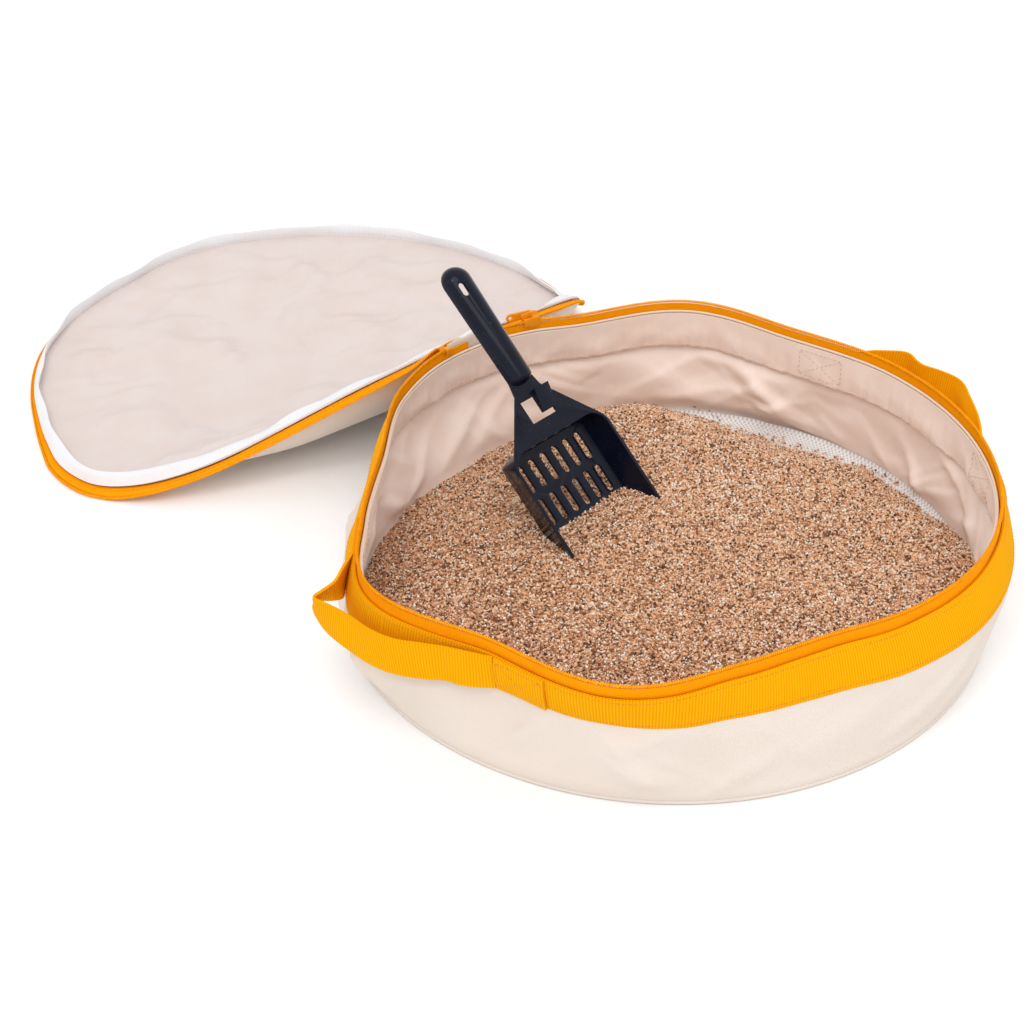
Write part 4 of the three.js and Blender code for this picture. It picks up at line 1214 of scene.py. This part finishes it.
# A smooth line through knots, with the same number of steps between each pair.
def throughKnots(knots, steps):
    knots = np.asarray(knots, float)
    slopes = np.gradient(knots, axis=0)
    pieces = []
    for k in range(len(knots) - 1):
        t = np.linspace(0, 1, steps, endpoint=False)[:, None]
        piece = knots[k] * (1 + 2 * t) * (1 - t) ** 2 + slopes[k] * t * (1 - t) ** 2
        pieces.append(piece + knots[k + 1] * t * t * (3 - 2 * t) + slopes[k + 1] * t * t * (t - 1))
    return np.concatenate(pieces + [knots[-1:]])


# One edge of a loop in the part's frame, from the sewn end ahead to the one behind.
def strapEdge(side, which, height):
    shape = handleShape[side]
    half = math.radians(handleShape["half"] + handleShape["overlap"])
    out = math.radians(shape["angle"])
    knots = [((away * math.cos(out) - along * math.sin(out)) * mm,
              (away * math.sin(out) + along * math.cos(out)) * mm, up * mm)
             for along, away, up in shape["edges"][which]]
    ends = []
    for turn in (out + half, out - half):
        degrees = math.degrees(turn)
        reach = handleShape["endRadius"][which] + float(rimOffset(degrees))
        reach += float(wallTuck(degrees, height))
        ends.append((reach * math.cos(turn), reach * math.sin(turn), height))
    return throughKnots([ends[0], *knots, ends[1]], handleShape["knotSteps"])


def makeStrap(side):
    shape = handleShape[side]
    upper = strapEdge(side, 0, handleShape["high"])
    lower = strapEdge(side, 1, handleShape["low"])
    last = len(upper) - 1
    clearSelection()
    bpy.ops.mesh.primitive_grid_add(
        x_subdivisions=last, y_subdivisions=handleShape["rows"], size=2, calc_uvs=False)
    strap = bpy.context.object
    strap.name = f"{side}_handle_strap"
    places = placesOf(strap)
    centre = (upper + lower) / 2
    reach = reachAlong(centre)
    index = np.round((places[:, 0] + 1) / 2 * last).astype(int)
    up = (places[:, 1] + 1) / 2
    setPlaces(strap, np.stack([reach[index], up * (handleShape["high"] - handleShape["low"]), 0 * up], 1))
    flatUv(strap)
    middle = lower[index] + (upper[index] - lower[index]) * up[:, None]
    sideways = np.cross(np.gradient(centre, axis=0)[index], (upper - lower)[index])
    sideways /= np.linalg.norm(sideways, axis=1)[:, None]
    start, end = (k * handleShape["knotSteps"] / last for k in shape["creaseSpan"])
    share = np.clip((index / last - start) / (end - start), 0, 1)
    dent = shape["crease"] * mm * np.sin(math.pi * share)
    dent = dent * (1 - np.abs(up - 0.64) / np.where(up > 0.64, 0.36, 0.64))
    ripple = 0.35 * mm * np.sin(reach[index] / (9 * mm)) * np.sin(up * 5)
    inward = -np.sign((sideways * middle * [1, 1, 0]).sum(1))
    setPlaces(strap, middle + sideways * ((dent + ripple) * inward)[:, None])
    sewn(strap, handleShape["thick"], webbing, [f"handle_{side}_loop"], angle=40)
    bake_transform(strap)


# The middle of each sewn end, in degrees.
def patchAngles(side):
    away = handleShape["half"] + handleShape["box"] / 2
    return {"front": handleShape[side]["angle"] + away, "rear": handleShape[side]["angle"] - away}


def makePatches(side):
    half = handleShape["box"] / 2
    for place, angle in patchAngles(side).items():
        patch = ringBand(f"{side}_handle_{place}_patch", inMetres(handleShape["patch"]), 720)
        keepArc(patch, angle - half, angle + half)
        ringUv(patch)
        toRim(patch)
        sewn(patch, handleShape["thick"], webbing, [f"handle_{side}_{place}_end"], 40)
        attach(patch, "tub")


for side in ("left", "right"):
    makeStrap(side)
    makePatches(side)
print("handles ready")


# Stitches
stitchShape = {"length": 2.5 * mm, "gap": 0.9 * mm, "width": 0.55 * mm, "rise": 0.3 * mm, "ringSteps": 1800,
               "lineSteps": 40, "lidSteps": 900, "over": 0.85 * mm, "inside": 0.5 * mm,
               "bandSeams": (60 * mm, 80.2 * mm), "facingSeam": 57.6 * mm,
               "patchBox": (4.3, 60.3 * mm, 79.6 * mm), "facingBox": (4.6, 60.4 * mm, 79.2 * mm)}


def stitchBead():
    clearSelection()
    bpy.ops.mesh.primitive_uv_sphere_add(segments=6, ring_count=5, radius=0.5)
    bead = bpy.context.object
    bead.name = "bead"
    return laidAlong(bead)


# Stitches along a line of points, lying on a surface whose outward direction is known at each point.
def stitchFrames(points, outward):
    reach = reachAlong(points)
    count = max(1, int(reach[-1] / (stitchShape["length"] + stitchShape["gap"])))
    middle = (np.arange(count) + 0.5) * reach[-1] / count
    half = stitchShape["length"] / 2

    def at(where, values):
        return np.stack([np.interp(where, reach, values[:, k]) for k in range(3)], 1)

    along = at(np.minimum(middle + half, reach[-1]), points) - at(np.maximum(middle - half, 0), points)
    along /= np.linalg.norm(along, axis=1)[:, None]
    out = at(middle, outward)
    out -= along * (out * along).sum(1)[:, None]
    out /= np.linalg.norm(out, axis=1)[:, None]
    return framesOf(along * stitchShape["length"], np.cross(out, along) * stitchShape["width"],
                    out * stitchShape["rise"] * 2, at(middle, points))


# How far out the surface that a seam lies on is, by height.
def onProfile(profile, height):
    heights, radii = [z for _, z in profile], [r for r, _ in profile]
    return np.interp(height / mm, heights, radii) * mm + stitchShape["over"]


def onBand(angle, height):
    return onProfile(rimBand["profile"], height)


def onPatch(angle, height):
    return onProfile([(206.95, 57.5), (206.9, 66), (206.3, 72), (205.2, 77), (203.7, 82.5)], height)


def onFacing(angle, height):
    return facingReach(angle, height) - stitchShape["inside"]


def seamPlaces(angle, height, surface, sign):
    turn = np.radians(angle)
    points = roundPlaces(surface(angle, height) + rimShift(angle, height), turn, height)
    return stitchFrames(points, sign * roundPlaces(1, turn, 0 * turn))


def ringStitches(height, surface, sign=1):
    count = stitchShape["ringSteps"]
    return seamPlaces(np.linspace(0, 360, count), np.full(count, height), surface, sign)


# A sewn box with a cross round a middle angle: half its width in degrees, and its lower and upper height.
def boxStitches(angle, box, surface, sign=1):
    half, low, high = box
    corners = [(angle - half, low), (angle + half, low), (angle + half, high), (angle - half, high)]
    lines = []
    for first, second in ((0, 1), (1, 2), (2, 3), (3, 0), (0, 2), (1, 3)):
        line = np.linspace(corners[first], corners[second], stitchShape["lineSteps"])
        lines.append(seamPlaces(line[:, 0], line[:, 1], surface, sign))
    return np.concatenate(lines)


def sewStitches(name, bead, frames, material):
    piece = manyOf(name, bead, frames)
    smooth(piece, 80)
    return dress(piece, material)


def makeTubStitches(bead):
    ends = [angle for side in ("left", "right") for angle in patchAngles(side).values()]
    lines = [ringStitches(height, onBand) for height in stitchShape["bandSeams"]]
    lines += [boxStitches(angle, stitchShape["patchBox"], onPatch) for angle in ends]
    boxes = [boxStitches(angle, stitchShape["facingBox"], onFacing, -1) for angle in ends]
    seam = [ringStitches(stitchShape["facingSeam"], onFacing, -1)]
    for name, frames, thread, slot in (("webbing_stitches", lines, orangeThread, "webbing"),
                                       ("facing_stitches", seam, tanThread, "lining"),
                                       ("facing_box_stitches", boxes, tanThread, "lining")):
        piece = sewStitches(name, bead, np.concatenate(frames), thread)
        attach(piece, "tub")


# A seam round the lid, at a radius and a height inside it. Its stitches lie on the side that lift points to.
def sewLid(name, bead, radius, height, settle, lift, material):
    turn = np.linspace(0, 2 * math.pi, stitchShape["lidSteps"])
    points = layLid(settle(roundPlaces(radius, turn, height)))
    lifted = layLid(settle(roundPlaces(radius + lift[0], turn, height + lift[1])))
    bendLid(sewStitches(name, bead, stitchFrames(points, lifted - points), material))


def makeStitches():
    bead = stitchBead()
    makeTubStitches(bead)
    sewLid("lid_tape_stitches", bead, 194.6 * mm, 0.6 * mm, droopTape, (0, mm), orangeThread)
    sewLid("lid_binding_stitches", bead, 190.35 * mm, 4.5 * mm, leanBinding, (-mm, 0), whiteThread)
    discard(bead)


makeStitches()
print("stitches ready")


# Litter
# The banks' feet as (degrees, millimetres from the middle); beyond 230 the litter meets the wall.
litterShape = {"top": 38.2 * mm, "floor": 3.4 * mm, "slope": math.radians(28), "edge": 198.5 * mm,
               "grains": 72000, "rows": 67, "size": (0.60 * mm, 0.98 * mm), "pieces": 6,
               "toe": [(0, 195), (10, 191), (22, 186.5), (33, 188), (40, 199), (46, 209), (54, 214),
                       (62, 212), (76, 198), (90, 186), (108, 185), (117, 187), (130, 192), (143, 200),
                       (155, 216), (168, 245), (180, 262), (300, 262), (315, 246), (325, 230), (338, 206),
                       (348, 200)],
               "mound": (-12.5 * mm, 19 * mm, 12 * mm, 3 * mm), "sink": 0.75 * mm, "soft": 3 * mm,
               "ripples": [(38, 21, 0.3, 1.3), (-27, 45, 1.9, 1.2), (63, -52, 4.0, 0.7),
                           (14, -31, 2.2, 1.4), (95, 80, 0.9, 0.4), (-120, 61, 5.1, 0.35)]}


def litterEdge(angle):
    return litterShape["edge"] + rimOffset(angle) * 0.7 + wallTuck(angle, litterShape["top"])


def litterToe(angle):
    return roundTrip(litterShape["toe"], angle)


# The litter's surface: a rippled top with a mound where the scoop stands, cut by the banks.
def litterHeight(x, y):
    radius = np.hypot(x, y)
    angle = np.degrees(np.arctan2(y, x))
    ripple = 0
    for waveX, waveY, phase, size in litterShape["ripples"]:
        ripple = ripple + size * mm * np.sin(x * waveX + y * waveY + phase)
    moundX, moundY, spread, tall = litterShape["mound"]
    mound = tall * np.exp(-((x - moundX) ** 2 + (y - moundY) ** 2) / (2 * spread ** 2))
    surface = litterShape["top"] - 1.2 * mm + ripple * 0.4 + mound
    wobble = 2.5 * mm * np.sin(np.radians(angle) * 13 + 1) + 1.5 * mm * np.sin(np.radians(angle) * 29)
    bank = litterShape["floor"] + (litterToe(angle) + wobble - radius) * math.tan(litterShape["slope"])
    soft = litterShape["soft"]
    low = np.minimum(surface, bank) - soft * np.exp(-np.abs(surface - bank) / soft) * 0.4
    return np.maximum(low, litterShape["floor"])


def makeHeap():
    whole = litterShape["edge"]
    rings = [(float(r), 0.0) for r in np.linspace(whole, 5 * mm, litterShape["rows"])]
    heap = ringBand("litter_heap", rings, 300, capped=True)
    places = placesOf(heap)
    outer = easeStep((reachOf(places) - 110 * mm) / (85 * mm))
    places = radially(places, (litterEdge(degreesOf(places)) - whole) * outer)
    places[:, 2] = litterHeight(places[:, 0], places[:, 1]) - litterShape["sink"]
    setPlaces(heap, places)
    with editing(heap):
        bpy.ops.mesh.extrude_region_move(TRANSFORM_OT_translate={"value": (0, 0, -1 * mm)})
    facesOut(heap)
    smooth(heap)
    dress(heap, heapGround, ["litter_bed"])
    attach(heap, "tub")


def makeStones(dice):
    stones = []
    for k in range(litterShape["pieces"]):
        clearSelection()
        bpy.ops.mesh.primitive_cube_add(size=1.5, calc_uvs=False)
        stone = bpy.context.object
        stone.name = f"stone_{k}"
        places = placesOf(stone)
        setPlaces(stone, places * dice.uniform(0.65, 1.2, places.shape))
        stones.append(stone)
    return stones


# Random turns, as one 3 x 3 matrix per grain.
def randomTurns(dice, total):
    turns = dice.normal(size=(total, 4))
    turns /= np.linalg.norm(turns, axis=1)[:, None]
    w, a, b, c = turns.T
    return np.stack([
        np.stack([1 - 2 * (b * b + c * c), 2 * (a * b - c * w), 2 * (a * c + b * w)], 1),
        np.stack([2 * (a * b + c * w), 1 - 2 * (a * a + c * c), 2 * (b * c - a * w)], 1),
        np.stack([2 * (a * c - b * w), 2 * (b * c + a * w), 1 - 2 * (a * a + b * b)], 1),
    ], 1)


def makeGrains():
    dice = np.random.default_rng(41)
    total = litterShape["grains"]
    angle = dice.uniform(0, 2 * math.pi, total)
    radius = np.sqrt(dice.uniform(0, 1, total)) * (litterEdge(np.degrees(angle)) - 0.8 * mm)
    past = radius - litterToe(np.degrees(angle))
    keep = (past < 0) | (dice.uniform(0, 1, total) < 0.4 * np.exp(-past / (3.5 * mm)))
    angle, radius, past = angle[keep], radius[keep], past[keep]
    total = len(angle)
    x, y = radius * np.cos(angle), radius * np.sin(angle)
    strayRise = np.where(past > 0, 1.2 * mm + np.maximum(radius - 193 * mm, 0) * 0.35, 0)
    z = litterHeight(x, y) + strayRise + dice.uniform(-0.75, 0.45, total) * mm
    low, high = litterShape["size"]
    scale = dice.uniform(low, high, total) * np.where(dice.uniform(0, 1, total) < 0.1, 1.3, 1.0)
    squash = np.stack([np.ones(total), dice.uniform(0.7, 1.0, total), dice.uniform(0.5, 0.85, total)], 1)
    squash = squash * scale[:, None]
    matrices = np.tile(np.eye(4), (total, 1, 1))
    matrices[:, :3, :3] = randomTurns(dice, total) * squash[:, None, :]
    matrices[:, :3, 3] = np.stack([x, y, z], 1)
    # Painted shade and light: the tones are lowered towards the left of the tub (-x) and raised a little
    # towards the right.
    tones = dice.normal(0.50, 0.17, total) + np.clip(x / (0.9 * litterShape["edge"]), -1, 0.3) * 0.12
    odd = dice.uniform(0, 1, total)
    pale = dice.uniform(0.85, 1.0, total)
    dark = dice.uniform(0.0, 0.15, total)
    tones = np.where(odd < 0.14, pale, np.where(odd > 0.86, dark, tones))
    kind = dice.integers(0, litterShape["pieces"], total)
    stones = makeStones(dice)
    for k, stone in enumerate(stones):
        chosen = kind == k
        grains = manyOf(f"litter_grains_{k + 1}", stone, matrices[chosen], np.clip(tones[chosen], 0, 1))
        dress(grains, grain)
        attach(grains, "tub")
        discard(stone)


makeHeap()
makeGrains()
print("litter ready")


# Moulded and enamelled pieces
# A copy of a CAD node with its sharp edges eased.
def eased(node, name, material, body, width):
    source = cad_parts[node]
    mesh = source.data.copy()
    mesh.transform(source.matrix_world)
    piece = bpy.data.objects.new(name, mesh)
    bpy.context.scene.collection.objects.link(piece)
    facesOut(piece, merge=0.005 * mm)
    with editing(piece):
        bpy.ops.mesh.dissolve_limited(angle_limit=math.radians(1))
    applied(piece, "BEVEL", width=width, segments=2, limit_method="ANGLE", angle_limit=math.radians(32),
            harden_normals=False, use_clamp_overlap=True)
    smooth(piece, 35)
    dress(piece, material, [node])
    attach(piece, body)


eased("scoop", "scoop_moulding", navy, "scoop", 0.45 * mm)
eased("zip_slider", "slider_casting", enamel, "slider", 0.22 * mm)
eased("zip_pull", "pull_tab", enamel, "pull", 0.2 * mm)
for node, body in (("lower_top_stop", "tub"), ("lower_bottom_stop", "tub"),
                   ("upper_top_stop", "lid_rear"), ("upper_bottom_stop", "lid_rear")):
    eased(node, node + "_moulding", enamel, body, 0.2 * mm)
print("scoop and zip parts ready")
